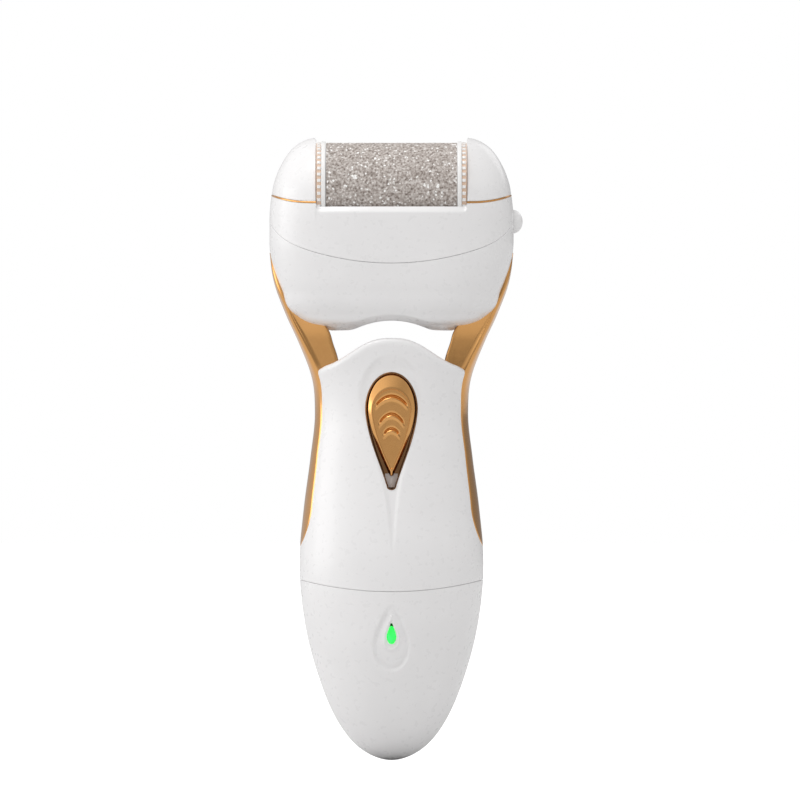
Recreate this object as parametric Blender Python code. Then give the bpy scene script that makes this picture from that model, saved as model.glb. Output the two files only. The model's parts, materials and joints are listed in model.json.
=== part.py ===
"""Electric callus remover: a two-lobed head with an abrasive roller, a forked neck and an egg-ended handle.

The model is written in millimetres and placed in metres. +Z runs up the handle, the front faces -Y.
Every visible shell is cut from one envelope, a loft of superellipses given by STATIONS.
"""

import math

import bmesh
import bpy
from mathutils import Vector

MM = 0.001

# ---- envelope: height, half width, half depth, squareness of the section
STATIONS = (
    (0.0, 0.0, 0.0, 2.0),
    (0.9, 4.4, 3.9, 2.0),
    (3.5, 8.6, 7.6, 2.0),
    (10.0, 13.7, 12.1, 2.05),
    (20.0, 18.0, 15.6, 2.1),
    (33.0, 21.5, 18.3, 2.2),
    (49.0, 23.1, 19.5, 2.25),
    (63.0, 22.0, 18.2, 2.3),
    (76.0, 20.3, 16.4, 2.4),
    (87.0, 19.2, 15.3, 2.4),
    (96.0, 20.0, 15.4, 2.6),
    (105.0, 23.4, 16.5, 2.9),
    (112.0, 26.6, 17.6, 3.1),
    (120.0, 29.5, 18.4, 3.2),
    (131.0, 30.6, 18.7, 3.2),
    (139.0, 30.4, 18.6, 3.1),
    (145.0, 29.4, 17.6, 3.0),
    (150.0, 27.3, 15.2, 2.8),
    (154.0, 24.2, 11.2, 2.6),
    (156.0, 19.7, 5.0, 2.4),
)
# the lower cup of the head, which the two arms wrap
BOWL_STATIONS = (
    (107.8, 13.0, 5.0, 2.4),
    (108.1, 16.5, 9.0, 2.6),
    (109.2, 20.6, 13.0, 2.8),
    (112.0, 25.4, 16.0, 3.0),
    (118.0, 28.0, 17.9, 3.2),
    (123.5, 29.7, 18.5, 3.2),
    (128.0, 30.5, 18.7, 3.2),
    (134.5, 30.6, 18.7, 3.2),
)
BOWL_ABOVE = (137.0, 30.6, 18.7, 3.2)
BOWL_BELOW = (107.3, 12.0, 4.0, 2.4)
HEIGHT = STATIONS[-1][0]
HEAD_HALF_WIDTH = 30.6
BELLY_HALF_DEPTH = 19.5
REAR_FLAT_Y = 18.3
BUTTON_PROUD = 2.3
RING_POINTS = 28
GAP = 0.2

# ---- walls, screws and the reach of the cutters that run right through
ALL_DEPTH = (-25, 25)
THREAD_R = 0.95
CLEAR_R = 1.25
WALL = 1.6
CAP_WALL = 1.8
SPIGOT_INSET = 2.05
SPIGOT_WALL = 1.2

# ---- head
ROLLER_Y = -5.0
ROLLER_Z = 142.8
ROLLER_R = 12.0
ROLLER_CLEARANCE = 0.8
SLEEVE_HALF = 16.4
FLANGE_OUT = 17.6
RING_IN = 17.7
RING_OUT = 18.6
RING_R = 11.6
RING_TEETH = 46
OPENING_HALF = 18.9
HOOD_TOP = 150.0
HOOD_FRONT_Y = 8.4
PARTING_Z = 139.5
PARTING_RISE = 2.0
TRIM_HEIGHT = 0.35
SEAM_FRONT_Z = 124.5
SEAM_RADIUS = 68.0
SEAM_FLICK = 2.6
NOTCH_RADIUS = 24.6
NOTCH_TOP_Z = 110.5
CHEEK_OUT = 20.2
CHEEK_R = 8.0
TROUGH_WALL = 1.4
SHELF_Z = 128.6
POST_X = 12.0
POST_Y = 12.6
ARM_SCREW_X = 19.6

# ---- gears: module, teeth, and the plates that they run in
MODULE = 0.6
PRESSURE_ANGLE = math.radians(20)
DRIVE_TEETH = 18
MIDDLE_TEETH = 16
SMALL_TEETH = 10
LARGE_TEETH = 26
PINION_TEETH = 10
BACKLASH = 0.10
GEAR_IN_X = (-23.0, -20.6)
GEAR_OUT_X = (-25.7, -23.7)

# ---- motor, lying across the bowl
MOTOR_Z = 120.3
MOTOR_X = (-18.6, 6.4)
MOTOR_HALF_HEIGHT = 7.55
MOTOR_HALF_DEPTH = 10.05
MOTOR_SCREW_Y = 5.6

# ---- roller release on the right side
BUTTON_Z = 135.0
BUTTON_R = 2.95
LEVER_X = 23.0
LEVER_Z = 138.9
LEVER_REACH_X = 1.7
LEVER_REACH_Z = 3.9
SPRING_TURNS = 4
SPRING_X = (23.7, 26.2)
SPRING_R = 2.1

# ---- handle
BELL_TOP_Z = 105.8
BELL_BASE_Z = 97.9
BELL_SPREAD = 12.4
SHOULDER_Z = 97.4
SHOULDER_X = 18.2
CAP_SEAM_FRONT_Z = 42.3
CAP_SEAM_RISE = 2.9
BELLY_HALF_WIDTH = 23.1
SPLIT_Y = 0.0
STRIP_END_Z = 53.6
ARM_TOP_Z = 127.2

# ---- switch
RECESS_TOP = 97.0
RECESS_WAIST = 88.0
RECESS_TIP = 68.1
RECESS_HALF = 6.3
SLIDER_TIP = 71.1
SLIDER_HALF = 5.85
TEAR_POWER = 1.6
BEZEL_WALL = 0.5
RECESS_FLOOR_Y = -12.4
BEZEL_FLOOR = 1.1
SLIDER_FRONT_Y = -16.0

# ---- battery, boards and lamp
CELL_R = 7.2
CELL_TIP_R = 2.7
CELL_X = 7.45
CELL_Y = 4.0
CELL_Z = (33.0, 83.0)
BOARD_Y = (-5.3, -3.9)
CHARGE_BOARD_Y = (-10.9, -9.5)
LENS_Z = (29.4, 34.3)
LENS_HALF = 1.1
SOCKET_Z = 24.0
HANDLE_SCREWS = ((16.9, 57.0), (12.6, 92.0))
SCREW_HEAD_Y = 8.2

# ---- colour, metallic, roughness
FINISHES = {
    "white_plastic": ((0.86, 0.85, 0.85), 0.0, 0.25),
    "gold_plating": ((0.55, 0.30, 0.12), 1.0, 0.25),
    "bronze_lining": ((0.25, 0.13, 0.07), 1.0, 0.20),
    "mineral_grit": ((0.45, 0.41, 0.38), 0.0, 0.70),
    "grey_plastic": ((0.42, 0.42, 0.44), 0.0, 0.45),
    "gear_nylon": ((0.80, 0.78, 0.70), 0.0, 0.40),
    "steel": ((0.60, 0.60, 0.62), 1.0, 0.30),
    "nickel": ((0.72, 0.70, 0.66), 1.0, 0.30),
    "black_plastic": ((0.03, 0.03, 0.03), 0.0, 0.40),
    "green_board": ((0.02, 0.20, 0.08), 0.0, 0.40),
    "green_lens": ((0.00, 0.80, 0.12), 0.0, 0.15),
    "cell_wrap": ((0.05, 0.25, 0.45), 0.0, 0.35),
    "wire_jacket": ((0.60, 0.04, 0.03), 0.0, 0.50),
}


# ======== scene helpers

def clear_scene():
    for obj in list(bpy.data.objects):
        bpy.data.objects.remove(obj, do_unlink=True)


def add_root():
    """The empty that everything hangs from: it centres the part's box on the origin."""
    root = bpy.data.objects.new("part_origin", None)
    root.location = Vector((-BUTTON_PROUD / 2, (BELLY_HALF_DEPTH - REAR_FLAT_Y) / 2, 0.0)) * MM
    bpy.context.collection.objects.link(root)
    return root


def finish(name):
    found = bpy.data.materials.get(name)
    if found:
        return found
    colour, metallic, roughness = FINISHES[name]
    material = bpy.data.materials.new(name)
    material.use_nodes = True
    shader = material.node_tree.nodes["Principled BSDF"]
    shader.inputs["Base Color"].default_value = (*colour, 1.0)
    shader.inputs["Metallic"].default_value = metallic
    shader.inputs["Roughness"].default_value = roughness
    return material


def add_solid(name, bm, material=None, pivot=(0.0, 0.0, 0.0), smooth=True):
    """A mesh in millimetres becomes an object whose origin is the pivot."""
    bmesh.ops.recalc_face_normals(bm, faces=bm.faces)
    bmesh.ops.translate(bm, verts=bm.verts, vec=-Vector(pivot))
    bmesh.ops.scale(bm, verts=bm.verts, vec=(MM, MM, MM))
    mesh = bpy.data.meshes.new(name)
    bm.to_mesh(mesh)
    bm.free()
    if smooth:
        mesh.shade_smooth()
        mesh.set_sharp_from_angle(angle=math.radians(35))
    obj = bpy.data.objects.new(name, mesh)
    obj.location = Vector(pivot) * MM
    obj.parent = ROOT
    bpy.context.collection.objects.link(obj)
    if material:
        mesh.materials.append(finish(material))
    else:
        obj.hide_render = True
        obj.display_type = "WIRE"
    return obj


def boolean(obj, tool, operation="DIFFERENCE"):
    modifier = obj.modifiers.new(f"{operation.lower()}_{tool.name}", "BOOLEAN")
    modifier.operation = operation
    modifier.solver = "EXACT"
    modifier.object = tool
    return obj


def cut(obj, *tools):
    for tool in tools:
        boolean(obj, tool, "DIFFERENCE")
    return obj


def keep(obj, *tools):
    for tool in tools:
        boolean(obj, tool, "INTERSECT")
    return obj


def join(obj, *tools):
    for tool in tools:
        boolean(obj, tool, "UNION")
    return obj


# ======== curves and sections

def catmull_rom(points, place):
    """A smooth value between the rows of points, at a fractional row number."""
    last = len(points) - 1
    row = min(int(place), last - 1)
    t = place - row
    p1 = points[row]
    p2 = points[row + 1]
    p0 = points[row - 1] if row > 0 else tuple(2 * a - b for a, b in zip(p1, p2))
    p3 = points[row + 2] if row + 2 <= last else tuple(2 * b - a for a, b in zip(p1, p2))
    return tuple(
        0.5 * (2 * b + (c - a) * t + (2 * a - 5 * b + 4 * c - d) * t * t + (3 * b - a - 3 * c + d) * t**3)
        for a, b, c, d in zip(p0, p1, p2, p3)
    )


def station_at(stations, z):
    """Half width, half depth and squareness at a height."""
    low = 0.0
    high = len(stations) - 1.0
    for _ in range(40):
        middle = (low + high) / 2
        if catmull_rom(stations, middle)[0] < z:
            low = middle
        else:
            high = middle
    return catmull_rom(stations, (low + high) / 2)[1:]


def section(width, depth, power, z, count=RING_POINTS):
    ring = []
    for i in range(count):
        angle = 2 * math.pi * i / count
        c = math.cos(angle)
        s = math.sin(angle)
        x = math.copysign(abs(c) ** (2 / power), c) * width
        y = math.copysign(abs(s) ** (2 / power), s) * depth
        ring.append((x, y, z))
    return ring


def loft(rings):
    """Closed solid through rings of equal length, flat at both ends."""
    bm = bmesh.new()
    rows = [[bm.verts.new(point) for point in ring] for ring in rings]
    for low, high in zip(rows, rows[1:]):
        for i in range(len(low)):
            j = (i + 1) % len(low)
            bm.faces.new((low[i], low[j], high[j], high[i]))
    bm.faces.new(list(reversed(rows[0])))
    bm.faces.new(rows[-1])
    return bm


def envelope(name, z_low, z_high, inset=0.0, stations=STATIONS, step=5.0, material=None):
    """A length of the envelope, shrunk by the inset all round."""
    heights = [z_low]
    for row in stations:
        if z_low + 0.5 < row[0] < z_high - 0.5:
            heights.append(row[0])
    heights.append(z_high)
    rings = []
    for low, high in zip(heights, heights[1:]):
        pieces = max(1, round((high - low) / step))
        for k in range(pieces):
            rings.append(low + (high - low) * k / pieces)
    rings.append(z_high)
    sections = []
    for z in rings:
        width, depth, power = station_at(stations, z)
        sections.append(section(width - inset, depth - inset, power, z))
    return add_solid(name, loft(sections), material)


def prism(outline, axis, low, high):
    """An outline extruded along an axis. It holds (x, z) for Y, (y, z) for X and (x, y) for Z."""
    place = {
        "X": lambda u, v, w: (w, u, v),
        "Y": lambda u, v, w: (u, w, v),
        "Z": lambda u, v, w: (u, v, w),
    }[axis]
    return loft([[place(u, v, w) for u, v in outline] for w in (low, high)])


def block(x, y, z):
    """A box from its limits in X, Y and Z."""
    return prism(((x[0], y[0]), (x[1], y[0]), (x[1], y[1]), (x[0], y[1])), "Z", z[0], z[1])


def turned(profile, axis, centre, segments=24):
    """A round solid: a closed profile of (along, radius) pairs, spun about the axis through the centre."""
    bm = bmesh.new()
    rows = []
    for along, radius in profile:
        if radius == 0:
            rows.append([bm.verts.new(spun(axis, centre, along, 0, 0))])
            continue
        ring = []
        for i in range(segments):
            angle = 2 * math.pi * i / segments
            across = (radius * math.cos(angle), radius * math.sin(angle))
            ring.append(bm.verts.new(spun(axis, centre, along, *across)))
        rows.append(ring)
    for low, high in zip(rows, rows[1:] + rows[:1]):
        if len(low) == 1 and len(high) == 1:
            continue
        for i in range(segments):
            j = (i + 1) % segments
            if len(low) == 1:
                bm.faces.new((low[0], high[j], high[i]))
            elif len(high) == 1:
                bm.faces.new((low[i], low[j], high[0]))
            else:
                bm.faces.new((low[i], low[j], high[j], high[i]))
    return bm


def spun(axis, centre, along, u, v):
    offset = {"X": (along, u, v), "Y": (v, along, u), "Z": (u, v, along)}[axis]
    return tuple(c + o for c, o in zip(centre, offset))


def rod(radius, low, high):
    return ((low, 0), (low, radius), (high, radius), (high, 0))


def tube(inner, outer, low, high):
    return ((low, inner), (low, outer), (high, outer), (high, inner))


def smooth_path(points, steps):
    """Points along a smooth curve through a few given ones."""
    count = (len(points) - 1) * steps
    return [Vector(catmull_rom(points, i / steps)) for i in range(count + 1)]


def swept(path, radius, sides=8):
    """A round bar along a path, with flat ends. The section turns with the path and doesn't twist."""
    first = (path[1] - path[0]).normalized()
    across = first.orthogonal().normalized()
    rings = []
    for i, point in enumerate(path):
        ahead = (path[min(i + 1, len(path) - 1)] - path[max(i - 1, 0)]).normalized()
        across = (across - ahead * across.dot(ahead)).normalized()
        other = ahead.cross(across)
        ring = []
        for k in range(sides):
            angle = 2 * math.pi * k / sides
            ring.append(tuple(point + (across * math.cos(angle) + other * math.sin(angle)) * radius))
        rings.append(ring)
    return loft(rings)


def teardrop(top, waist, tip, half, grow=0.0, arc_points=12, side_points=5):
    """A drop outline in (x, z): half an ellipse on top and two hollowing sides down to a blunt tip."""
    outline = []
    for i in range(arc_points + 1):
        angle = math.pi * i / arc_points
        outline.append(((half + grow) * math.cos(angle), waist + (top - waist + grow) * math.sin(angle)))
    left = []
    for k in range(1, side_points + 1):
        s = 0.94 * k / side_points
        left.append((-(half * (1 - s**TEAR_POWER) + grow), waist - (waist - tip) * s))
    outline += left
    outline.append((-0.35 * half * 0.25 - grow * 0.5, tip - grow))
    outline.append((0.35 * half * 0.25 + grow * 0.5, tip - grow))
    outline += [(-x, z) for x, z in reversed(left)]
    return outline


def below_curve(height_at, half, low, points=17):
    """Outline in (x, z) of everything under a curve, down to a low level."""
    across = [half - 2 * half * i / (points - 1) for i in range(points)]
    return [(-half, low), (half, low)] + [(x, height_at(x)) for x in across]


def above_curve(height_at, half, high, points=17):
    """Outline in (x, z) of everything over a curve, up to a high level."""
    under = below_curve(lambda x: -height_at(x), half, -high, points)
    return [(x, -z) for x, z in reversed(under)]


def head_seam(x):
    return SEAM_FRONT_Z + x * x / (2 * SEAM_RADIUS) + SEAM_FLICK * min(1.2, abs(x) / 30) ** 12


def parting_line(x):
    beyond = max(0.0, min(1.0, (abs(x) - OPENING_HALF) / (HEAD_HALF_WIDTH - OPENING_HALF)))
    return PARTING_Z + PARTING_RISE * beyond**2.5


def cap_seam(x):
    return CAP_SEAM_FRONT_Z + CAP_SEAM_RISE * (x / BELLY_HALF_WIDTH) ** 2


def bell(x):
    """Top edge of the handle between the arms."""
    return BELL_BASE_Z + (BELL_TOP_Z - BELL_BASE_Z) * math.exp(-((abs(x) / BELL_SPREAD) ** 2.6))


def mirrored(side, low, high):
    return (side * low, side * high) if side > 0 else (side * high, side * low)


# ======== gears

def gear_outline(teeth, phase):
    """Involute teeth about the origin, in (y, z)."""
    pitch = MODULE * teeth / 2
    base = pitch * math.cos(PRESSURE_ANGLE)
    root = pitch - 1.25 * MODULE
    tip = pitch + 0.9 * MODULE
    half_tooth = (math.pi * MODULE / 2 - BACKLASH) / (2 * pitch)

    def flank(radius):
        if radius <= base:
            return half_tooth + math.tan(PRESSURE_ANGLE) - PRESSURE_ANGLE
        turn = math.acos(base / radius)
        return half_tooth + (math.tan(PRESSURE_ANGLE) - PRESSURE_ANGLE) - (math.tan(turn) - turn)

    radii = (root, pitch, tip)
    outline = []
    for k in range(teeth):
        centre = phase + 2 * math.pi * k / teeth
        outline += [(r, centre - flank(r)) for r in radii]
        outline += [(r, centre + flank(r)) for r in reversed(radii)]
    return [(r * math.cos(a), r * math.sin(a)) for r, a in outline]


def meshing_phase(teeth, phase, centre, other_teeth, other_centre):
    """Phase of the other gear, so that its gap meets this gear's tooth on the line of centres."""
    line = math.atan2(other_centre[1] - centre[1], other_centre[0] - centre[0])
    share = ((line - phase) * teeth / (2 * math.pi)) % 1
    return line + math.pi - (0.5 - share) * 2 * math.pi / other_teeth


def third_corner(start, start_reach, end, end_reach, side):
    """The point at given distances from two others, on one side of the line between them."""
    run = Vector(end) - Vector(start)
    span = run.length
    along = (start_reach**2 - end_reach**2 + span**2) / (2 * span)
    off = math.sqrt(start_reach**2 - along**2)
    forward = run / span
    return tuple(Vector(start) + forward * along + Vector((forward.y, -forward.x)) * off * side)


def gear_body(teeth, phase, centre, x_range):
    outline = [(centre[0] + u, centre[1] + v) for u, v in gear_outline(teeth, phase)]
    return prism(outline, "X", x_range[0], x_range[1])


ROLLER_AXIS = (ROLLER_Y, ROLLER_Z)
MOTOR_AXIS = (0.0, MOTOR_Z)
REACH_PINION = MODULE * (PINION_TEETH + LARGE_TEETH) / 2
REACH_MIDDLE = MODULE * (SMALL_TEETH + MIDDLE_TEETH) / 2
REACH_DRIVE = MODULE * (MIDDLE_TEETH + DRIVE_TEETH) / 2
LARGE_AXIS = (1.5, MOTOR_Z + math.sqrt(REACH_PINION**2 - 1.5**2))
MIDDLE_AXIS = third_corner(LARGE_AXIS, REACH_MIDDLE, ROLLER_AXIS, REACH_DRIVE, 1)


# ======== shells

def head_shells():
    seam_low = add_solid("cut_under_head_seam", prism(below_curve(head_seam, 32, 100), "Y", -22, 22))
    seam_high = add_solid(
        "cut_under_head_seam_raised", prism(below_curve(lambda x: head_seam(x) + GAP, 32, 100), "Y", -22, 22)
    )
    clearance = add_solid(
        "cut_roller_clearance",
        turned(
            rod(ROLLER_R + ROLLER_CLEARANCE, -OPENING_HALF, OPENING_HALF), "X", (0, *ROLLER_AXIS), 40
        ),
    )
    rear = add_solid("cut_rear_flat", block((-40, 40), (REAR_FLAT_Y, 30), (-5, 160)))

    bowl = envelope("head_bowl", 107.8, 134.5, 0, BOWL_STATIONS, 6, "white_plastic")
    keep(bowl, seam_low)
    hollow = envelope("cut_bowl_hollow", 109.6, 136, WALL, BOWL_STATIONS[1:] + (BOWL_ABOVE,), 6)
    notch_centre = (0, 0, NOTCH_TOP_Z - NOTCH_RADIUS)
    notch = add_solid("cut_notch", turned(rod(NOTCH_RADIUS, *ALL_DEPTH), "Y", notch_centre, 64))
    notch_floor = add_solid(
        "cut_notch_floor", turned(rod(NOTCH_RADIUS + WALL, *ALL_DEPTH), "Y", notch_centre, 64)
    )
    cut(hollow, notch_floor)
    cut(bowl, hollow, notch, rear)
    for side in (-1, 1):
        post = add_solid(
            f"add_bowl_post_{side}",
            turned(rod(2.2, 111.6, SHELF_Z - GAP), "Z", (side * POST_X, POST_Y, 0), 10),
        )
        bore = add_solid(
            f"cut_bowl_post_{side}", turned(rod(THREAD_R, 116, 140), "Z", (side * POST_X, POST_Y, 0), 12)
        )
        join(bowl, post)
        cut(bowl, bore)
        arm_bore = add_solid(
            f"cut_bowl_arm_bore_{side}",
            turned(rod(CLEAR_R, 100, 116), "Z", (side * ARM_SCREW_X, 4.0, 0), 12),
        )
        cut(bowl, arm_bore)
    lead_hole = add_solid("cut_bowl_lead_hole", turned(rod(1.3, 100, 113), "Z", (20.4, -2.5, 0), 12))
    cut(bowl, lead_hole)

    collar = envelope("head_collar", 120.0, HOOD_TOP, 0, STATIONS, 4, "white_plastic")
    cut(collar, seam_high)
    collar_hollow = envelope("cut_collar_hollow", 118.0, HOOD_TOP - WALL, WALL, STATIONS, 4)
    hood_x = (-OPENING_HALF + 0.1, OPENING_HALF - 0.1)
    hood_y = (HOOD_FRONT_Y - 1, HOOD_FRONT_Y + WALL)
    hood_face = add_solid("cut_hood_face", block(hood_x, hood_y, (139, 152)))
    cut(collar_hollow, hood_face)
    above_parting = above_curve(parting_line, 34, 175)
    for side in (-1, 1):
        low_x, high_x = mirrored(side, OPENING_HALF - GAP, 40)
        lobe_space = add_solid(f"cut_lobe_space_{side}", prism(above_parting, "Y", *ALL_DEPTH))
        lobe_side = add_solid(f"keep_lobe_side_{side}", block((low_x, high_x), ALL_DEPTH, (130, 180)))
        keep(lobe_space, lobe_side)
        cut(collar, lobe_space)
    front = add_solid(
        "cut_roller_front", block((-OPENING_HALF, OPENING_HALF), (-30, HOOD_FRONT_Y), (ROLLER_Z - 4.1, 170))
    )
    cut(collar, collar_hollow, clearance, front, rear)
    button_hole = add_solid(
        "cut_button_hole", turned(rod(BUTTON_R + 0.15, 24, 36), "X", (0, 0, BUTTON_Z), 24)
    )
    cut(collar, button_hole)
    cut(bowl, button_hole)

    for side, name in ((-1, "left"), (1, "right")):
        cover = envelope(f"{name}_lobe_cover", 138.0, HEIGHT, 0, STATIONS, 3, "white_plastic")
        trim = envelope(f"{name}_trim_strip", 138.0, 143.5, 0.05, STATIONS, 3, "gold_plating")
        start = PARTING_Z + GAP
        over = above_curve(lambda x: parting_line(x) + GAP + TRIM_HEIGHT + GAP, 34, 175)
        over_trim = add_solid(f"keep_over_trim_{side}", prism(over, "Y", *ALL_DEPTH))
        strip = above_curve(lambda x: parting_line(x) + GAP, 34, 175)
        over_gap = add_solid(f"keep_over_gap_{side}", prism(strip, "Y", *ALL_DEPTH))
        under = below_curve(lambda x: parting_line(x) + GAP + TRIM_HEIGHT, 34, 130)
        under_trim = add_solid(f"keep_under_trim_{side}", prism(under, "Y", *ALL_DEPTH))
        low_x, high_x = mirrored(side, OPENING_HALF, 40)
        half = add_solid(f"keep_lobe_{side}", block((low_x, high_x), ALL_DEPTH, (start - 3, 180)))
        keep(cover, over_trim, half)
        keep(trim, over_gap, under_trim, half)
        inner = envelope(f"cut_lobe_hollow_{side}", 136.0, HEIGHT - WALL, WALL, STATIONS, 3)
        low_x, high_x = mirrored(side, CHEEK_OUT + GAP, 40)
        inner_half = add_solid(f"keep_lobe_hollow_{side}", block((low_x, high_x), ALL_DEPTH, (130, 180)))
        keep(inner, inner_half)
        trim_inner = envelope(f"cut_trim_hollow_{side}", 136.0, 146, 1.4, STATIONS, 3)
        low_x, high_x = mirrored(side, CHEEK_OUT, 40)
        trim_half = add_solid(f"keep_trim_hollow_{side}", block((low_x, high_x), ALL_DEPTH, (130, 180)))
        keep(trim_inner, trim_half)
        cheek_hole = add_solid(
            f"cut_cheek_hole_{side}",
            prism(cheek_outline(GAP, 130.0), "X", *mirrored(side, OPENING_HALF - 1, CHEEK_OUT + 1)),
        )
        cut(cover, inner, cheek_hole, rear)
        cut(trim, trim_inner, cheek_hole, rear)


def cheek_outline(grow, bottom):
    """An arch in (y, z): round over the roller's axis, straight sides below."""
    radius = CHEEK_R + grow
    arch = []
    for i in range(13):
        angle = math.pi * i / 12
        arch.append((ROLLER_Y + radius * math.cos(angle), ROLLER_Z + radius * math.sin(angle)))
    return arch + [(ROLLER_Y - radius, bottom), (ROLLER_Y + radius, bottom)]


def roller_cradle():
    """The inner frame: a trough under the roller, two cheeks, a shelf and the motor's plate."""
    trough = turned(
        tube(ROLLER_R + ROLLER_CLEARANCE, ROLLER_R + ROLLER_CLEARANCE + TROUGH_WALL, -CHEEK_OUT, CHEEK_OUT),
        "X",
        (0, *ROLLER_AXIS),
        32,
    )
    cradle = add_solid("roller_cradle", trough, "grey_plastic")
    low_half = add_solid("keep_trough", block((-30, 30), (-14.9, HOOD_FRONT_Y - 0.5), (125, 138.0)))
    keep(cradle, low_half)
    shelf = add_solid("add_shelf", block((-16, 16), (ROLLER_Y, 15.4), (SHELF_Z, SHELF_Z + 1.4)))
    join(cradle, shelf)
    for side in (-1, 1):
        cheek = add_solid(
            f"add_cheek_{side}",
            prism(cheek_outline(0, 129.0), "X", *mirrored(side, OPENING_HALF, CHEEK_OUT)),
        )
        bore = add_solid(
            f"cut_cheek_bore_{side}", turned(rod(2.25, side * 15, side * 22), "X", (0, *ROLLER_AXIS), 20)
        )
        screw_hole = add_solid(
            f"cut_shelf_hole_{side}", turned(rod(CLEAR_R, 125, 135), "Z", (side * POST_X, POST_Y, 0), 12)
        )
        join(cradle, cheek)
        cut(cradle, bore, screw_hole)
    lug = add_solid("add_lever_lug", block((19.0, 24.2), (-11.4, -10.1), (137.6, 140.2)))
    join(cradle, lug)
    cut(cradle, add_solid("cut_lug_bore", turned(rod(0.5, -14, -9), "Y", (LEVER_X, 0, LEVER_Z), 12)))
    plate = add_solid("add_motor_plate", block((-CHEEK_OUT, -OPENING_HALF), (-8.5, 9.0), (114.5, 129.5)))
    join(cradle, plate)
    boss_hole = add_solid("cut_motor_boss", turned(rod(3.3, -25, -15), "X", (0, *MOTOR_AXIS), 20))
    cut(cradle, boss_hole)
    for side in (-1, 1):
        place = (0, side * MOTOR_SCREW_Y, MOTOR_Z)
        hole = add_solid(f"cut_motor_screw_{side}", turned(rod(1.1, -25, -15), "X", place, 12))
        cut(cradle, hole)


def handle_tools():
    """The cutters that both halves of the handle share."""
    over_seam = above_curve(lambda x: cap_seam(x) + GAP, 28, 120, 13)
    arms_room = [arm_strip(f"cut_arm_room_{side}", side, GAP) for side in (-1, 1)]
    return {
        "seam": add_solid("keep_over_cap_seam", prism(over_seam, "Y", *ALL_DEPTH)),
        "hollow": envelope("cut_handle_hollow", 30.0, 96.5, CAP_WALL, STATIONS, 9),
        "arms": arms_room,
    }


def handle_shells():
    tools = handle_tools()
    silhouette = add_solid("keep_handle_silhouette", prism(handle_silhouette(), "Y", *ALL_DEPTH))
    rear = bpy.data.objects["cut_rear_flat"]
    split = (SPLIT_Y - GAP / 2, SPLIT_Y + GAP / 2)
    halves = (
        ("handle_front_shell", (-25, split[0]), (-9.5, split[0]), THREAD_R),
        ("handle_rear_shell", (split[1], 25), (split[1], 10.5), CLEAR_R),
    )
    for name, y_range, post_reach, bore_r in halves:
        shell = envelope(name, 40.0, 107.0, 0, STATIONS, 6, "white_plastic")
        half = add_solid(f"keep_{name}", block((-30, 30), y_range, (20, 120)))
        keep(shell, half, silhouette, tools["seam"])
        cut(shell, tools["hollow"], *tools["arms"])
        for index, (x, z) in enumerate(HANDLE_SCREWS):
            for side in (-1, 1):
                post = add_solid(
                    f"add_{name}_post_{index}_{side}",
                    turned(rod(2.15, *post_reach), "Y", (side * x, 0, z), 10),
                )
                join(shell, post)
                bore = add_solid(
                    f"cut_{name}_bore_{index}_{side}",
                    turned(rod(bore_r, -7.5, 30), "Y", (side * x, 0, z), 8),
                )
                cut(shell, bore)
                if name.endswith("rear_shell"):
                    sink = add_solid(
                        f"cut_{name}_sink_{index}_{side}",
                        turned(rod(2.0, SCREW_HEAD_Y - 0.1, 30), "Y", (side * x, 0, z), 14),
                    )
                    cut(shell, sink)
        cut(shell, rear)
    front = bpy.data.objects["handle_front_shell"]
    room = teardrop(RECESS_TOP, RECESS_WAIST, RECESS_TIP, RECESS_HALF, BEZEL_WALL + GAP)
    cut(front, add_solid("cut_bezel_room", prism(room, "Y", -30, -5)))


def handle_silhouette():
    """Front outline of the handle: the bell, the shoulders, and the full width below."""
    top = []
    for i in range(21):
        x = SHOULDER_X - 2 * SHOULDER_X * i / 20
        top.append((x, bell(x)))
    return [(-28, 30), (28, 30), (28, SHOULDER_Z - 4), (SHOULDER_X, SHOULDER_Z - 3.9)] + top + [
        (-SHOULDER_X, SHOULDER_Z - 3.9),
        (-28, SHOULDER_Z - 4),
    ]


def arm_side_outline(grow):
    """Side view of an arm in (y, z): a strip with a round lower end, which narrows up the head."""
    right = (
        (0.0, STRIP_END_Z),
        (4.6, 54.4),
        (8.2, 57.4),
        (9.0, 63.0),
        (7.9, 79.0),
        (7.3, 90.0),
        (7.6, 104.0),
        (8.2, 112.0),
        (7.2, 119.0),
        (4.2, 124.8),
        (0.0, ARM_TOP_Z),
    )
    points = [catmull_rom(right, i / 2) for i in range(2 * len(right) - 1)]
    side = [(y + grow, z) for y, z in points[1:-1]]
    low = (0.0, STRIP_END_Z - grow)
    high = (0.0, ARM_TOP_Z + grow)
    return [low] + side + [high] + [(-y, z) for y, z in reversed(side)]


def arm_inner_outline(side, grow):
    """Front view of an arm in (x, z): its inner edge, and well past the envelope outside."""
    inner = (
        (19.6, 50.0),
        (19.3, 57.0),
        (17.6, 70.0),
        (15.9, 82.0),
        (15.2, 92.0),
        (13.2, 97.0),
        (13.4, 100.6),
        (15.8, 108.1),
        (16.4, 110.0),
        (20.0, 113.0),
        (24.0, 130.0),
    )
    edge = [(side * (x - grow), z) for x, z in inner]
    outline = edge + [(side * 36.0, 130.0), (side * 36.0, 50.0)]
    return outline if side > 0 else list(reversed(outline))


def arm_strip(name, side, grow, material=None):
    arm = envelope(name, 50.0, 130.0, -grow * 2 if grow else 0.0, STATIONS, 8, material)
    side_view = add_solid(f"keep_side_{name}", prism(arm_side_outline(grow), "X", *mirrored(side, 5, 40)))
    front_view = add_solid(f"keep_front_{name}", prism(arm_inner_outline(side, grow), "Y", *ALL_DEPTH))
    return keep(arm, side_view, front_view)


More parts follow.
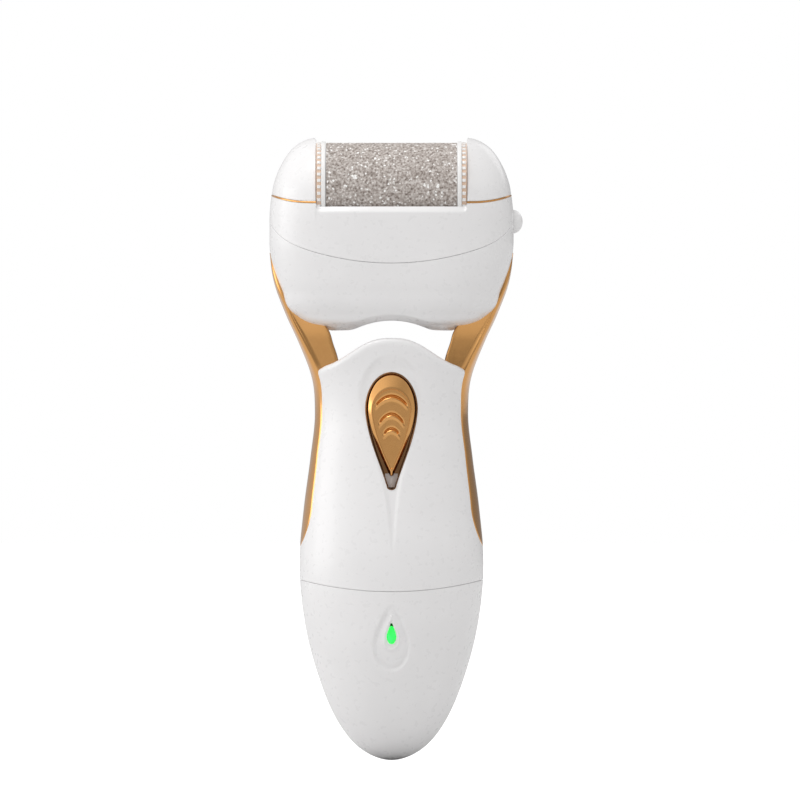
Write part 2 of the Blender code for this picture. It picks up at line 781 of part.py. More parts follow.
def lead_path():
    """The motor's lead: out of the motor, down the right arm and to the board's top edge."""
    return smooth_path(
        (
            (6.9, -2.5, MOTOR_Z),
            (12.0, -2.5, 118.5),
            (18.6, -2.5, 114.0),
            (20.4, -2.5, 109.0),
            (18.4, -2.5, 102.0),
            (15.6, -2.5, 96.8),
            (12.2, -2.5, 95.4),
            (8.4, -2.6, 94.0),
            (7.0, -2.7, 90.5),
        ),
        3,
    )


def arms():
    room = (BOWL_BELOW,) + BOWL_STATIONS[1:] + (BOWL_ABOVE,)
    bowl_room = envelope("cut_bowl_room", BOWL_BELOW[0], 136.0, -GAP, room, 5)
    for side, name in ((-1, "left"), (1, "right")):
        arm = arm_strip(f"{name}_arm", side, 0.0, "gold_plating")
        cut(arm, bowl_room)
        bore = add_solid(
            f"cut_arm_screw_bore_{side}", turned(rod(0.95, 101.5, 115), "Z", (side * 19.6, 4.0, 0), 12)
        )
        cut(arm, bore)
    channel = add_solid("cut_lead_channel", swept(lead_path(), 1.15, 8))
    cut(bpy.data.objects["right_arm"], channel)
    cut(bpy.data.objects["handle_front_shell"], channel)


def end_cap():
    cap = envelope("end_cap", 0.0, 47.0, 0, STATIONS, 6, "white_plastic")
    under_seam = add_solid("keep_under_cap_seam", prism(below_curve(cap_seam, 28, -10, 13), "Y", *ALL_DEPTH))
    keep(cap, under_seam)
    spigot = envelope("add_cap_spigot", 38.5, 50.0, SPIGOT_INSET, STATIONS, 6)
    join(cap, spigot)
    low = envelope("cut_cap_hollow", 3.6, 40.0, CAP_WALL, ((1.0, 3.0, 2.6, 2.0),) + STATIONS[2:], 7)
    high = envelope("cut_spigot_hollow", 37.0, 52.0, SPIGOT_INSET + SPIGOT_WALL, STATIONS, 7)
    lens_room = teardrop(LENS_Z[1] + GAP, 31.0, LENS_Z[0] - GAP, LENS_HALF + GAP, 0, 8, 3)
    lens_hole = add_solid("cut_lens_hole", prism(flip(lens_room, LENS_Z), "Y", -25, -12))
    socket_hole = add_solid("cut_socket_hole", turned(rod(4.0, 5, 30), "Y", (0.01, 0, SOCKET_Z + 0.01), 18))
    cut(cap, low, high, lens_hole, socket_hole, bpy.data.objects["cut_rear_flat"])


def flip(outline, limits):
    """Turns a drop outline point up between its limits."""
    middle = limits[0] + limits[1]
    return [(x, middle - z) for x, z in reversed(outline)]


# ======== switch

def switch_parts():
    outer = teardrop(RECESS_TOP, RECESS_WAIST, RECESS_TIP, RECESS_HALF, BEZEL_WALL)
    bezel = add_solid(
        "switch_bezel", prism(outer, "Y", -17, RECESS_FLOOR_Y + BEZEL_FLOOR), "bronze_lining"
    )
    keep(bezel, envelope("keep_bezel_skin", 60.0, 104.0, 0.05, STATIONS, 6))
    recess = teardrop(RECESS_TOP, RECESS_WAIST, RECESS_TIP, RECESS_HALF)
    cut(bezel, add_solid("cut_recess", prism(recess, "Y", -20, RECESS_FLOOR_Y)))
    slot = add_solid("cut_slider_slot", block((-1.8, 1.8), (-14, -8), (79.6, 88.4)))
    cut(bezel, slot)

    base = teardrop(RECESS_TOP - 0.2, RECESS_WAIST, SLIDER_TIP, SLIDER_HALF)
    plateau = teardrop(RECESS_TOP - 3.6, RECESS_WAIST - 0.4, SLIDER_TIP + 1.2, SLIDER_HALF - 0.85)
    levels = ((base, RECESS_FLOOR_Y - 0.3), (base, SLIDER_FRONT_Y + 1.5), (plateau, SLIDER_FRONT_Y))
    cap = loft([[(x, y, z) for x, z in outline] for outline, y in levels])
    slider = add_solid("power_slider", cap, "gold_plating", (0, RECESS_FLOOR_Y, RECESS_WAIST))
    neck = add_solid("add_slider_neck", block((-1.5, 1.5), (RECESS_FLOOR_Y - 1, -10.6), (81.9, 88.1)))
    carrier = add_solid("add_slider_carrier", block((-4.5, 4.5), (-11.0, -9.9), (79.0, 91.0)))
    join(slider, neck, carrier)

    body = add_solid("slide_switch", block((-4.2, 4.2), (-8.7, BOARD_Y[0] - GAP), (78.0, 92.0)), "steel")
    cut(body, add_solid("cut_switch_slot", block((-1.3, 1.3), (-9.5, -7.2), (79.5, 88.5))))
    add_solid(
        "switch_actuator",
        block((-1.0, 1.0), (-9.7, -7.5), (82.3, 87.7)),
        "black_plastic",
        (0, -9.7, 85.0),
        False,
    )
    add_solid("control_board", block((-10, 10), BOARD_Y, (60.0, 94.5)), "green_board", smooth=False)


# ======== roller

def roller_parts():
    pivot = (0, ROLLER_Y, ROLLER_Z)
    centre = (0, *ROLLER_AXIS)
    add_solid(
        "abrasive_sleeve",
        turned(tube(ROLLER_R - 1.0, ROLLER_R, -SLEEVE_HALF, SLEEVE_HALF), "X", centre, 40),
        "mineral_grit",
        pivot,
    )
    drum = (
        (-16.2, 3.0),
        (-16.2, 10.8),
        (16.2, 10.8),
        (16.2, 3.0),
        (13.0, 3.0),
        (13.0, 9.2),
        (-13.0, 9.2),
        (-13.0, 3.0),
    )
    add_solid("roller_core", turned(drum, "X", centre, 24), "white_plastic", pivot)
    for side, name, bore_radius in ((-1, "left", 2.15), (1, "right", 1.65)):
        low, high = mirrored(side, SLEEVE_HALF + 0.1, FLANGE_OUT)
        add_solid(
            f"{name}_roller_flange",
            turned(tube(bore_radius, ROLLER_R + 0.35, low, high), "X", centre, 32),
            "white_plastic",
            pivot,
        )
        outline = []
        for k in range(RING_TEETH):
            for share, radius in ((0.0, RING_R), (0.5, RING_R + 0.6)):
                angle = 2 * math.pi * (k + share) / RING_TEETH
                outline.append((ROLLER_Y + radius * math.cos(angle), ROLLER_Z + radius * math.sin(angle)))
        ring = add_solid(
            f"{name}_toothed_ring",
            prism(outline, "X", *mirrored(side, RING_IN, RING_OUT)),
            "white_plastic",
            pivot,
        )
        bore = add_solid(
            f"cut_ring_bore_{side}", turned(rod(8.6, side * 15, side * 21), "X", centre, 24)
        )
        cut(ring, bore)


def gear_train():
    drive_phase = 0.0
    middle_phase = meshing_phase(DRIVE_TEETH, drive_phase, ROLLER_AXIS, MIDDLE_TEETH, MIDDLE_AXIS)
    small_phase = meshing_phase(MIDDLE_TEETH, middle_phase, MIDDLE_AXIS, SMALL_TEETH, LARGE_AXIS)
    large_phase = 0.0
    pinion_phase = meshing_phase(LARGE_TEETH, large_phase, LARGE_AXIS, PINION_TEETH, MOTOR_AXIS)

    drive = add_solid(
        "drive_gear",
        gear_body(DRIVE_TEETH, drive_phase, ROLLER_AXIS, GEAR_IN_X),
        "gear_nylon",
        (0, *ROLLER_AXIS),
    )
    spindle = add_solid(
        "add_drive_spindle", turned(rod(2.0, GEAR_IN_X[0] - 1.0, -16.6), "X", (0, *ROLLER_AXIS), 20)
    )
    join(drive, spindle)

    middle = add_solid(
        "middle_gear",
        gear_body(MIDDLE_TEETH, middle_phase, MIDDLE_AXIS, GEAR_IN_X),
        "gear_nylon",
        (0, *MIDDLE_AXIS),
    )
    cut(middle, add_solid("cut_middle_bore", turned(rod(1.05, -30, -15), "X", (0, *MIDDLE_AXIS), 16)))

    compound = add_solid(
        "compound_gear",
        gear_body(SMALL_TEETH, small_phase, LARGE_AXIS, (GEAR_OUT_X[0] + 0.5, GEAR_IN_X[1])),
        "gear_nylon",
        (0, *LARGE_AXIS),
    )
    large = add_solid("add_large_gear", gear_body(LARGE_TEETH, large_phase, LARGE_AXIS, GEAR_OUT_X))
    join(compound, large)
    cut(compound, add_solid("cut_compound_bore", turned(rod(1.05, -30, -15), "X", (0, *LARGE_AXIS), 16)))

    for name, axis, reach in (
        ("middle_gear_axle", MIDDLE_AXIS, GEAR_IN_X[0] - 0.1),
        ("compound_gear_axle", LARGE_AXIS, GEAR_OUT_X[0] - 0.5),
    ):
        add_solid(name, turned(rod(1.0, reach, -CHEEK_OUT - 0.1), "X", (0, *axis), 16), "steel", (0, *axis))

    pinion = add_solid(
        "motor_pinion",
        gear_body(PINION_TEETH, pinion_phase, MOTOR_AXIS, (GEAR_OUT_X[0] - 0.1, GEAR_OUT_X[1] + 0.1)),
        "gear_nylon",
        (0, *MOTOR_AXIS),
    )
    cut(pinion, add_solid("cut_pinion_bore", turned(rod(1.15, -30, -15), "X", (0, *MOTOR_AXIS), 16)))
    shaft = turned(rod(1.0, GEAR_OUT_X[0] - 0.3, -17.9), "X", (0, *MOTOR_AXIS), 16)
    add_solid("motor_shaft", shaft, "steel", (0, *MOTOR_AXIS))


def motor():
    flat = MOTOR_HALF_HEIGHT
    reach = MOTOR_HALF_DEPTH
    outline = []
    for i in range(24):
        angle = 2 * math.pi * i / 24
        y = reach * math.cos(angle)
        z = max(-flat, min(flat, reach * math.sin(angle)))
        outline.append((y, MOTOR_Z + z))
    can = add_solid("motor_can", prism(outline, "X", MOTOR_X[0], MOTOR_X[1] - 2.2), "steel")
    boss = turned(rod(3.0, MOTOR_X[0] - 1.4, MOTOR_X[0] + 1), "X", (0, *MOTOR_AXIS), 20)
    join(can, add_solid("add_motor_boss", boss))
    cut(can, add_solid("cut_motor_bore", turned(rod(1.15, -22, -15), "X", (0, *MOTOR_AXIS), 16)))
    for side in (-1, 1):
        thread = turned(rod(0.85, -22, -15), "X", (0, side * MOTOR_SCREW_Y, MOTOR_Z), 12)
        cut(can, add_solid(f"cut_motor_thread_{side}", thread))
    inset = [(y * 0.93, MOTOR_Z + (z - MOTOR_Z) * 0.93) for y, z in outline]
    add_solid("motor_end_bell", prism(inset, "X", MOTOR_X[1] - 2.0, MOTOR_X[1]), "black_plastic")
    for index, side in enumerate((-1, 1)):
        seat = (-CHEEK_OUT - 0.1, side * MOTOR_SCREW_Y, MOTOR_Z)
        add_screw(f"motor_screw_{index + 1}", "X", seat, 1.7, 1.0, 0.7, 3.2, 1)


def add_screw(name, axis, seat, head_r, head_h, shank_r, length, direction):
    """A pan-head screw: the seat is the middle of the head's underside, the shank points along the axis."""
    head = -direction
    profile = (
        (0.55 * head * head_h, 0),
        (0.55 * head * head_h, 0.42 * head_r),
        (head * head_h, 0.42 * head_r),
        (head * head_h, 0.78 * head_r),
        (0.45 * head * head_h, head_r),
        (0.0, head_r),
        (0.0, shank_r),
        (direction * (length - shank_r), shank_r),
        (direction * length, 0),
    )
    add_solid(name, turned(profile, axis, seat, 8), "steel", seat)


# ======== release

def release_parts():
    button = (
        (25.6, 0),
        (25.6, 1.4),
        (28.0, 1.4),
        (28.0, BUTTON_R + 0.7),
        (28.6, BUTTON_R + 0.7),
        (28.6, BUTTON_R),
        (HEAD_HALF_WIDTH + 0.4, BUTTON_R),
    )
    proud = BUTTON_PROUD - 0.4
    dome = tuple(
        (
            HEAD_HALF_WIDTH + 0.4 + proud * math.sin(math.radians(15 * k)),
            BUTTON_R * math.cos(math.radians(15 * k)) if k < 6 else 0,
        )
        for k in (2, 4, 5, 6)
    )
    body = turned(button + dome, "X", (0, 0, BUTTON_Z), 16)
    add_solid("release_button", body, "white_plastic", (25.6, 0, BUTTON_Z))

    high = Vector((LEVER_X - LEVER_REACH_X, LEVER_Z + LEVER_REACH_Z))
    low = Vector((LEVER_X + LEVER_REACH_X, LEVER_Z - LEVER_REACH_Z))
    nose = 0.65
    shoulders = (
        ((high.x - nose, LEVER_Z + 0.6),),
        (
            (LEVER_X + 1.5, LEVER_Z - 1.7),
            (LEVER_X + 1.15, LEVER_Z - 0.3),
            (LEVER_X + 1.05, LEVER_Z + 0.55),
            (high.x + nose, LEVER_Z + 0.75),
        ),
    )
    outline = []
    for centre, start, corners in ((high, 0, shoulders[0]), (low, 180, shoulders[1])):
        for k in range(7):
            angle = math.radians(start + 30 * k)
            outline.append((centre.x + nose * math.cos(angle), centre.y + nose * math.sin(angle)))
        outline += corners
    lever = add_solid("release_lever", prism(outline, "Y", -9.9, 2.6), "grey_plastic", (LEVER_X, 0, LEVER_Z))
    fork = add_solid(
        "cut_lever_fork", block((15, 30), (ROLLER_Y - 1.75, ROLLER_Y + 1.75), (ROLLER_Z - 2.5, ROLLER_Z + 5))
    )
    pin_bore = add_solid("cut_lever_bore", turned(rod(0.4, -15, 10), "Y", (LEVER_X, 0, LEVER_Z), 12))
    cut(lever, fork, pin_bore)
    hinge = (LEVER_X, 0, LEVER_Z)
    add_solid("lever_pin", turned(rod(0.35, -11.2, 3.2), "Y", hinge, 10), "steel", hinge)
    pin = (
        (17.0, 0),
        (17.0, 1.0),
        (17.4, 1.5),
        (22.2, 1.5),
        (22.2, 3.0),
        (23.0, 3.0),
        (23.0, 1.2),
        (24.6, 1.2),
        (24.6, 0),
    )
    add_solid(
        "retainer_pin", turned(pin, "X", (0, *ROLLER_AXIS), 20), "steel", (17.0, *ROLLER_AXIS)
    )
    helix = []
    for i in range(SPRING_TURNS * 8 + 1):
        angle = 2 * math.pi * i / 8
        along = SPRING_X[0] + (SPRING_X[1] - SPRING_X[0]) * i / (SPRING_TURNS * 8)
        helix.append(
            Vector((along, ROLLER_Y + SPRING_R * math.cos(angle), ROLLER_Z + SPRING_R * math.sin(angle)))
        )
    add_solid("release_spring", swept(helix, 0.2, 5), "steel")


# ======== battery, boards and charging

def power_parts():
    for side, name in ((-1, "left"), (1, "right")):
        top = CELL_Z[1]
        profile = (
            (CELL_Z[0], 0),
            (CELL_Z[0], CELL_R),
            (top - 1.0, CELL_R),
            (top - 1.0, CELL_TIP_R),
            (top, CELL_TIP_R),
            (top, 0),
        )
        add_solid(f"{name}_cell", turned(profile, "Z", (side * CELL_X, CELL_Y, 0), 24), "cell_wrap")
        add_solid(
            f"{name}_cell_tab",
            prism(
                ((5.0, 83.2), (5.0, 83.5), (-3.7, 83.5), (-3.7, 76.0), (-3.45, 76.0), (-3.45, 83.2)),
                "X",
                side * CELL_X - 1.5,
                side * CELL_X + 1.5,
            ),
            "nickel",
            smooth=False,
        )
    add_solid("cell_link", block((-10.5, 10.5), (2.0, 6.0), (32.5, 32.8)), "nickel", smooth=False)
    bracket = (
        (12.7, 30.9),
        (12.7, 85.2),
        (0.5, 85.2),
        (0.5, 84.0),
        (11.6, 84.0),
        (11.6, 32.1),
        (0.5, 32.1),
        (0.5, 30.9),
    )
    add_solid("battery_bracket", prism(bracket, "X", -8.0, 8.0), "black_plastic", smooth=False)

    drop = flip(teardrop(LENS_Z[1], 31.0, LENS_Z[0], LENS_HALF, 0, 8, 3), LENS_Z)
    lens = add_solid("indicator_lens", prism(drop, "Y", -19.5, -15.6), "green_lens")
    keep(lens, envelope("keep_lens_skin", 20.0, 45.0, 0.1, STATIONS, 5))
    lamp = ((-15.3, 0), (-15.3, 0.8), (-14.9, 1.4), (-12.4, 1.4), (-12.4, 1.8), (-11.1, 1.8), (-11.1, 0))
    add_solid("indicator_lamp", turned(lamp, "Y", (0, 0, 31.8), 16), "green_lens")
    add_solid("charge_board", block((-8.5, 8.5), CHARGE_BOARD_Y, (19.0, 42.0)), "green_board", smooth=False)

    body = block((-4.6, 4.6), (4.0, 12.4), (SOCKET_Z - 4.6, SOCKET_Z + 4.6))
    socket = add_solid("charge_socket", body, "black_plastic")
    barrel = (
        (12.0, 0),
        (12.0, 3.8),
        (16.3, 3.8),
        (16.3, 2.8),
        (12.7, 2.8),
        (12.7, 1.0),
        (15.2, 1.0),
        (15.2, 0),
    )
    join(socket, add_solid("add_socket_barrel", turned(barrel, "Y", (0, 0, SOCKET_Z), 16)))

    leads = {
        "motor_lead": lead_path(),
        "charge_lead": smooth_path(
            ((0, -8.5, 40.0), (0.4, -7.4, 45.0), (0.2, -6.8, 52.0), (0, -6.6, 58.0), (0, -6.3, 63.0)), 3
        ),
        "socket_lead": smooth_path(((0, 3.7, 25.5), (0, -1.0, 26.5), (0, -5.5, 26.0), (0, -8.9, 25.0)), 3),
    }
    for name, path in leads.items():
        add_solid(name, swept(path, 0.75, 6), "wire_jacket")


def screws():
    index = 1
    for x, z in HANDLE_SCREWS:
        for side in (-1, 1):
            seat = (side * x, SCREW_HEAD_Y + 0.1, z)
            add_screw(f"handle_screw_{index}", "Y", seat, 1.8, 1.4, 0.85, 13.0, -1)
            index += 1
    for number, side in enumerate((-1, 1)):
        seat = (side * POST_X, POST_Y, SHELF_Z + 1.5)
        add_screw(f"cradle_screw_{number + 1}", "Z", seat, 1.9, 1.3, 0.85, 10.0, -1)
        seat = (side * ARM_SCREW_X, 4.0, 111.2)
        add_screw(f"arm_screw_{number + 1}", "Z", seat, 1.9, 1.3, 0.85, 8.5, -1)


clear_scene()
ROOT = add_root()
head_shells()
roller_cradle()
handle_shells()
arms()
end_cap()
switch_parts()
roller_parts()
gear_train()
motor()
release_parts()
power_parts()
screws()
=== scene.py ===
import json
import math

import bmesh
import bpy
import numpy as np
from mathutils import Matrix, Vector


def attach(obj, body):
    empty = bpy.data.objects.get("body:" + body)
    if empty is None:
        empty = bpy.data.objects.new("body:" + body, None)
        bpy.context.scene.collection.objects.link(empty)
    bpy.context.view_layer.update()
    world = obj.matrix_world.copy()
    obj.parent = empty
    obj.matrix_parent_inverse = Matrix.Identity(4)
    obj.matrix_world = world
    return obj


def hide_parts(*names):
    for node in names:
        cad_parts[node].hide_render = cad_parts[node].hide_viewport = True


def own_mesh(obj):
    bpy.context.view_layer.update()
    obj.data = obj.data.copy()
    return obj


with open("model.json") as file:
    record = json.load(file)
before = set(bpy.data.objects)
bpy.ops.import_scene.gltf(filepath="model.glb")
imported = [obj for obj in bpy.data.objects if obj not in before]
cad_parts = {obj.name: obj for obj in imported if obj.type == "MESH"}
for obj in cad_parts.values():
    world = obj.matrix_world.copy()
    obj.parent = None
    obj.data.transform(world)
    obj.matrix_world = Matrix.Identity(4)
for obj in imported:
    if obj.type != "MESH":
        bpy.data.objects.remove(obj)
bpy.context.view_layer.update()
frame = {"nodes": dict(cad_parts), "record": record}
NODES = frame["nodes"]
MM = 0.001
SHIFT = np.array((-1.15, 0.6, 0.0))  # from the drawing's middle to the row frame's
UP = np.array((0.0, 0.0, 1.0))

# ---- the outer form: height, half width, half depth, squareness of the section (all lengths in mm)
STATIONS = np.array((
    (0, 0, 0, 2), (0.9, 4.4, 3.9, 2), (3.5, 8.6, 7.6, 2), (10, 13.7, 12.1, 2.05), (20, 18, 15.6, 2.1),
    (33, 21.5, 18.3, 2.2), (49, 23.1, 19.5, 2.25), (63, 22, 18.2, 2.3), (76, 20.3, 16.4, 2.4),
    (87, 19.2, 15.3, 2.4), (96, 20, 15.4, 2.6), (105, 23.4, 16.5, 2.9), (112, 26.6, 17.6, 3.1),
    (120, 29.5, 18.4, 3.2), (131, 30.6, 18.7, 3.2), (139, 30.4, 18.6, 3.1), (145, 29.4, 17.6, 3.0),
    (150, 27.3, 15.2, 2.8), (154, 24.2, 11.2, 2.6), (156, 19.7, 5, 2.4),
))
BOWL = np.array((
    (107.7, 15, 6, 2.4), (108.1, 17.4, 9.6, 2.6), (109.2, 20.8, 13.2, 2.8), (112, 25.4, 16, 3),
    (118, 28, 17.9, 3.2), (123.5, 29.7, 18.5, 3.2), (128, 30.5, 18.7, 3.2), (134.5, 30.6, 18.7, 3.2),
))
LOBE = np.array((
    (139, 30.4, 18.6, 3.1), (145, 29.4, 17.6, 3.0), (150, 27.3, 15.2, 2.8), (152, 26.0, 13.6, 2.7),
    (153.5, 24.7, 11.9, 2.6), (154.7, 23.1, 9.7, 2.5), (155.5, 21.5, 7.4, 2.45), (155.9, 20.2, 5.6, 2.4),
    (156, 19.5, 5, 2.4),
))
REAR_FLAT = 18.3
ROLLER_Y, ROLLER_Z, ROLLER_R = -5.0, 142.8, 12.0
ROLLER_AT = (0, ROLLER_Y, ROLLER_Z)
SLEEVE_HALF = 16.4
OPENING = 18.9  # half the width between the two lobes
HOOD_TOP, TOP = 150.0, 156.0
ARCH_R, ARCH_TOP, ARCH_FOOT = 20.0, 110.2, 107.7
SPLIT = 0.1  # half the gap between the handle's two shells
CORE = 0.5  # the share of a column's c that is the flat middle
WALL = 1.5
SEAM_SOFT = 0.12
BUTTON_Z, SOCKET_Z = 135.0, 24.0
STRIP_LOW, STRIP_HIGH = 63, 112  # between these an arm's strip has straight ends
STRIP_FOOT, STRIP_TIP = 9.4, 15.2
RECESS = (97.0, 88.0, 68.1, 6.3)
FLOOR_Y = -12.4
WEDGE_TOP = 71.9
HANDLE_SCREWS = ((-16.9, 57.0), (16.9, 57.0), (-12.6, 92.0), (12.6, 92.0))
CRESCENTS = ((91.0, 4.1, 2.5), (86.5, 3.3, 2.6), (82.8, 2.2, 1.6))


def smooth_table(table):
    """The stations joined by a curve that runs smoothly through each of them, as a fine table to look up."""
    z = table[:, 0]
    slope = np.zeros_like(table[:, 1:])
    run = np.diff(z)
    rise = np.diff(table[:, 1:], axis=0) / run[:, None]
    slope[1:-1] = (rise[:-1] * run[1:, None] + rise[1:] * run[:-1, None]) / (run[1:] + run[:-1])[:, None]
    slope[0], slope[-1] = rise[0], rise[-1]
    fine = []
    for i, length in enumerate(run):
        t = np.linspace(0, 1, 41)[:-1, None]
        a, b = table[i, 1:], table[i + 1, 1:]
        curve = (
            (2 * t**3 - 3 * t**2 + 1) * a + (t**3 - 2 * t**2 + t) * length * slope[i]
            + (3 * t**2 - 2 * t**3) * b + (t**3 - t**2) * length * slope[i + 1]
        )
        fine.append(np.hstack((z[i] + t * length, curve)))
    fine.append(table[-1:])
    return np.vstack(fine)


def round_table(table):
    """The same with the sizes joined as squares, which keeps the rounded bottom end round."""
    squares = table.copy()
    squares[:, 1:3] **= 2
    fine = smooth_table(squares)
    fine[:, 1:3] = np.sqrt(fine[:, 1:3])
    return fine


BODY_TABLE = round_table(STATIONS)
BOWL_TABLE = smooth_table(BOWL)
LOBE_TABLE = smooth_table(LOBE)


def look_up(table, z):
    return [np.interp(z, table[:, 0], table[:, k]) for k in (1, 2, 3)]


def rounded(across, half, power):
    """The share of a section's other half size that is left at this distance across it."""
    share = np.minimum(1, np.abs(across) / np.maximum(half, 1e-9))
    return np.maximum(0, 1 - share**power) ** (1 / power)


def on_form(c, side, z, table=BODY_TABLE, inset=0.0):
    """Points of the outer form.

    c from -1 to 1 runs across: evenly over the flat middle, then closing round the sides.
    side is -1 at the front and 1 at the rear."""
    width, depth, power = look_up(table, z)
    width, depth = width - inset, depth - inset
    core = np.minimum(OPENING, width * 0.96)
    part = np.abs(c)
    turn = np.clip((part - CORE) / (1 - CORE), 0, 1) * math.pi / 2
    x = np.where(part < CORE, core * part / CORE, core + (width - core) * np.sin(turn))
    y = rounded(x, width, power) * depth
    soft = 0.3
    start = REAR_FLAT - inset - soft
    y = np.where((side > 0) & (y > start), start + soft * np.tanh(np.maximum(0, y - start) / soft), y)
    return np.stack((np.sign(c) * x, side * y, z + 0 * x), axis=-1)



def columns(middle, outer):
    """Values of c: evenly over the middle, then closer and closer together towards each side."""
    half = np.concatenate((np.linspace(0, CORE, middle + 1), np.linspace(CORE, 1, outer + 1)[1:]))
    return np.concatenate((-half[:0:-1], half))


def solve_height(curve, c, side, low, high, table=BODY_TABLE):
    """Where each column of the form meets a seam given as z over x."""
    below = np.full(np.shape(c), float(low))
    above = np.full(np.shape(c), float(high))
    for _ in range(26):
        z = (below + above) / 2
        under = curve(on_form(c, side, z, table)[..., 0]) > z
        below = np.where(under, z, below)
        above = np.where(under, above, z)
    return (below + above) / 2


def head_seam(x):
    """The height of the seam between the two head shells."""
    return 124.5 + x**2 / 136 + 2.6 * np.minimum(1.2, np.abs(x) / 30) ** 12


def parting(x):
    """The height of the line between a lobe and the collar."""
    return 139.5 + 2.0 * (np.maximum(0, np.abs(x) - OPENING) / 11.7) ** 2.5


def cap_seam(x):
    """The height of the seam between the handle and the end cap."""
    return 42.3 + 2.9 * (x / 23.1) ** 2


def bell(x):
    """The handle's top edge."""
    x = np.abs(x)
    return 97.9 + 7.9 * np.exp(-((x / 12.4) ** 2.6)) - 0.5 * np.clip((x - 16.5) / 1.7, 0, 1)


def notch(x):
    """The bowl's underside: an arch that runs out softly into the flat on each side of it."""
    over = np.sqrt(np.maximum(0, ARCH_R**2 - x**2)) - ARCH_R + ARCH_TOP - ARCH_FOOT
    return ARCH_FOOT + (over + np.sqrt(over**2 + 0.35)) / 2


# ---- meshes
LOW_CORNER = np.array((-30.6, -19.49, 0.0))
HIGH_CORNER = np.array((32.88, 18.3, 156.0))


def keep_in_box(mesh):
    """Holds every point inside the object's overall box."""
    points = np.empty(len(mesh.vertices) * 3, np.float32)
    mesh.vertices.foreach_get("co", points)
    held = np.clip(points.reshape(-1, 3), (LOW_CORNER + SHIFT) * MM, (HIGH_CORNER + SHIFT) * MM)
    mesh.vertices.foreach_set("co", held.astype(np.float32).ravel())
    mesh.update()


def make(name, points, faces, material, body, stands_for=(), slot=None, smooth_angle=40, solid=True):
    """A mesh from local millimetres, placed in the row frame, shaded smooth with its sharp edges kept."""
    points = (np.asarray(points, float).reshape(-1, 3) + SHIFT) * MM
    mesh = bpy.data.meshes.new(name)
    mesh.from_pydata(points.tolist(), [], [tuple(int(i) for i in f) for f in faces])
    mesh.validate()
    merge(mesh)
    if solid:
        outward(mesh)
    keep_in_box(mesh)
    if smooth_angle:
        mesh.polygons.foreach_set("use_smooth", np.ones(len(mesh.polygons), bool))
        mesh.set_sharp_from_angle(angle=math.radians(smooth_angle))
    obj = bpy.data.objects.new(name, mesh)
    bpy.context.scene.collection.objects.link(obj)
    obj.data.materials.append(material)
    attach(obj, body)
    if stands_for:
        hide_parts(*stands_for)
    return obj


def merge(mesh):
    """Joins the points that lie in one place, as at a pole."""
    bm = bmesh.new()
    bm.from_mesh(mesh)
    bmesh.ops.remove_doubles(bm, verts=bm.verts, dist=2e-7)
    bmesh.ops.dissolve_degenerate(bm, dist=1e-7, edges=bm.edges)
    bm.to_mesh(mesh)
    bm.free()


def outward(mesh):
    """Turns the faces of a closed mesh outwards."""
    bm = bmesh.new()
    bm.from_mesh(mesh)
    bmesh.ops.recalc_face_normals(bm, faces=bm.faces)
    middle = sum((v.co for v in bm.verts), Vector()) / len(bm.verts)
    bmesh.ops.translate(bm, verts=bm.verts, vec=-middle)
    if bm.calc_volume(signed=True) < 0:
        bmesh.ops.reverse_faces(bm, faces=bm.faces)
    bmesh.ops.translate(bm, verts=bm.verts, vec=middle)
    bm.to_mesh(mesh)
    bm.free()


def grid_faces(rows, cols, wrap=True):
    """The faces between rows of points, each row closed into a ring if wrap is set."""
    faces = []
    for start in range(0, (rows - 1) * cols, cols):
        for j in range(cols if wrap else cols - 1):
            k = (j + 1) % cols
            faces.append((start + j, start + k, start + cols + k, start + cols + j))
    return faces


def loft(name, rows, material, body, stands_for=(), wrap=True, **more):
    """A piece whose surface runs from row to row of points."""
    points = np.stack(rows)
    return make(name, points, grid_faces(*points.shape[:2], wrap), material, body, stands_for, **more)


def fillet(a, corner, b, rows=6):
    """Rows of points that round a corner between two rows."""
    out = []
    for t in np.linspace(0, 1, rows + 1):
        out.append((1 - t) ** 2 * a + 2 * t * (1 - t) * corner + t**2 * b)
    return out


def lathe(profile, axis, centre, segments, start=0.0, sweep=2 * math.pi):
    """Points and faces of a profile of (along, radius) turned about an axis through the centre."""
    turn = start + sweep * np.arange(segments) / segments
    along, radius = np.array(profile, float).T
    a = np.repeat(along[:, None], segments, 1)
    u = radius[:, None] * np.cos(turn)
    v = radius[:, None] * np.sin(turn)
    order = {"X": (a, u, v), "Y": (v, a, u), "Z": (u, v, a)}[axis]
    points = np.stack(order, axis=-1).reshape(-1, 3) + np.array(centre, float)
    return points, grid_faces(len(profile), segments)


def arc(centre, radius, first, last, steps):
    """Points of an arc, from one angle in degrees to another."""
    turn = np.radians(np.linspace(first, last, steps + 1))
    return [(centre[0] + radius * math.cos(t), centre[1] + radius * math.sin(t)) for t in turn]


def joined(*parts):
    """Several shapes as one list of points and one of faces."""
    points, faces, base = [], [], 0
    for p, f in parts:
        p = np.asarray(p, float).reshape(-1, 3)
        points.append(p)
        faces += [tuple(i + base for i in face) for face in f]
        base += len(p)
    return np.vstack(points), faces


def shader(name):
    material = bpy.data.materials.new(name)
    material.use_nodes = True
    tree = material.node_tree
    principled = tree.nodes["Principled BSDF"]
    coords = tree.nodes.new("ShaderNodeTexCoord").outputs["Object"]
    return material, tree, principled, coords


def noise(tree, coords, scale, detail=3.0, stretch=(1, 1, 1)):
    mapping = tree.nodes.new("ShaderNodeMapping")
    mapping.inputs["Scale"].default_value = stretch
    tree.links.new(coords, mapping.inputs["Vector"])
    node = tree.nodes.new("ShaderNodeTexNoise")
    node.inputs["Scale"].default_value = scale
    node.inputs["Detail"].default_value = detail
    tree.links.new(mapping.outputs["Vector"], node.inputs["Vector"])
    return node.outputs["Fac"]


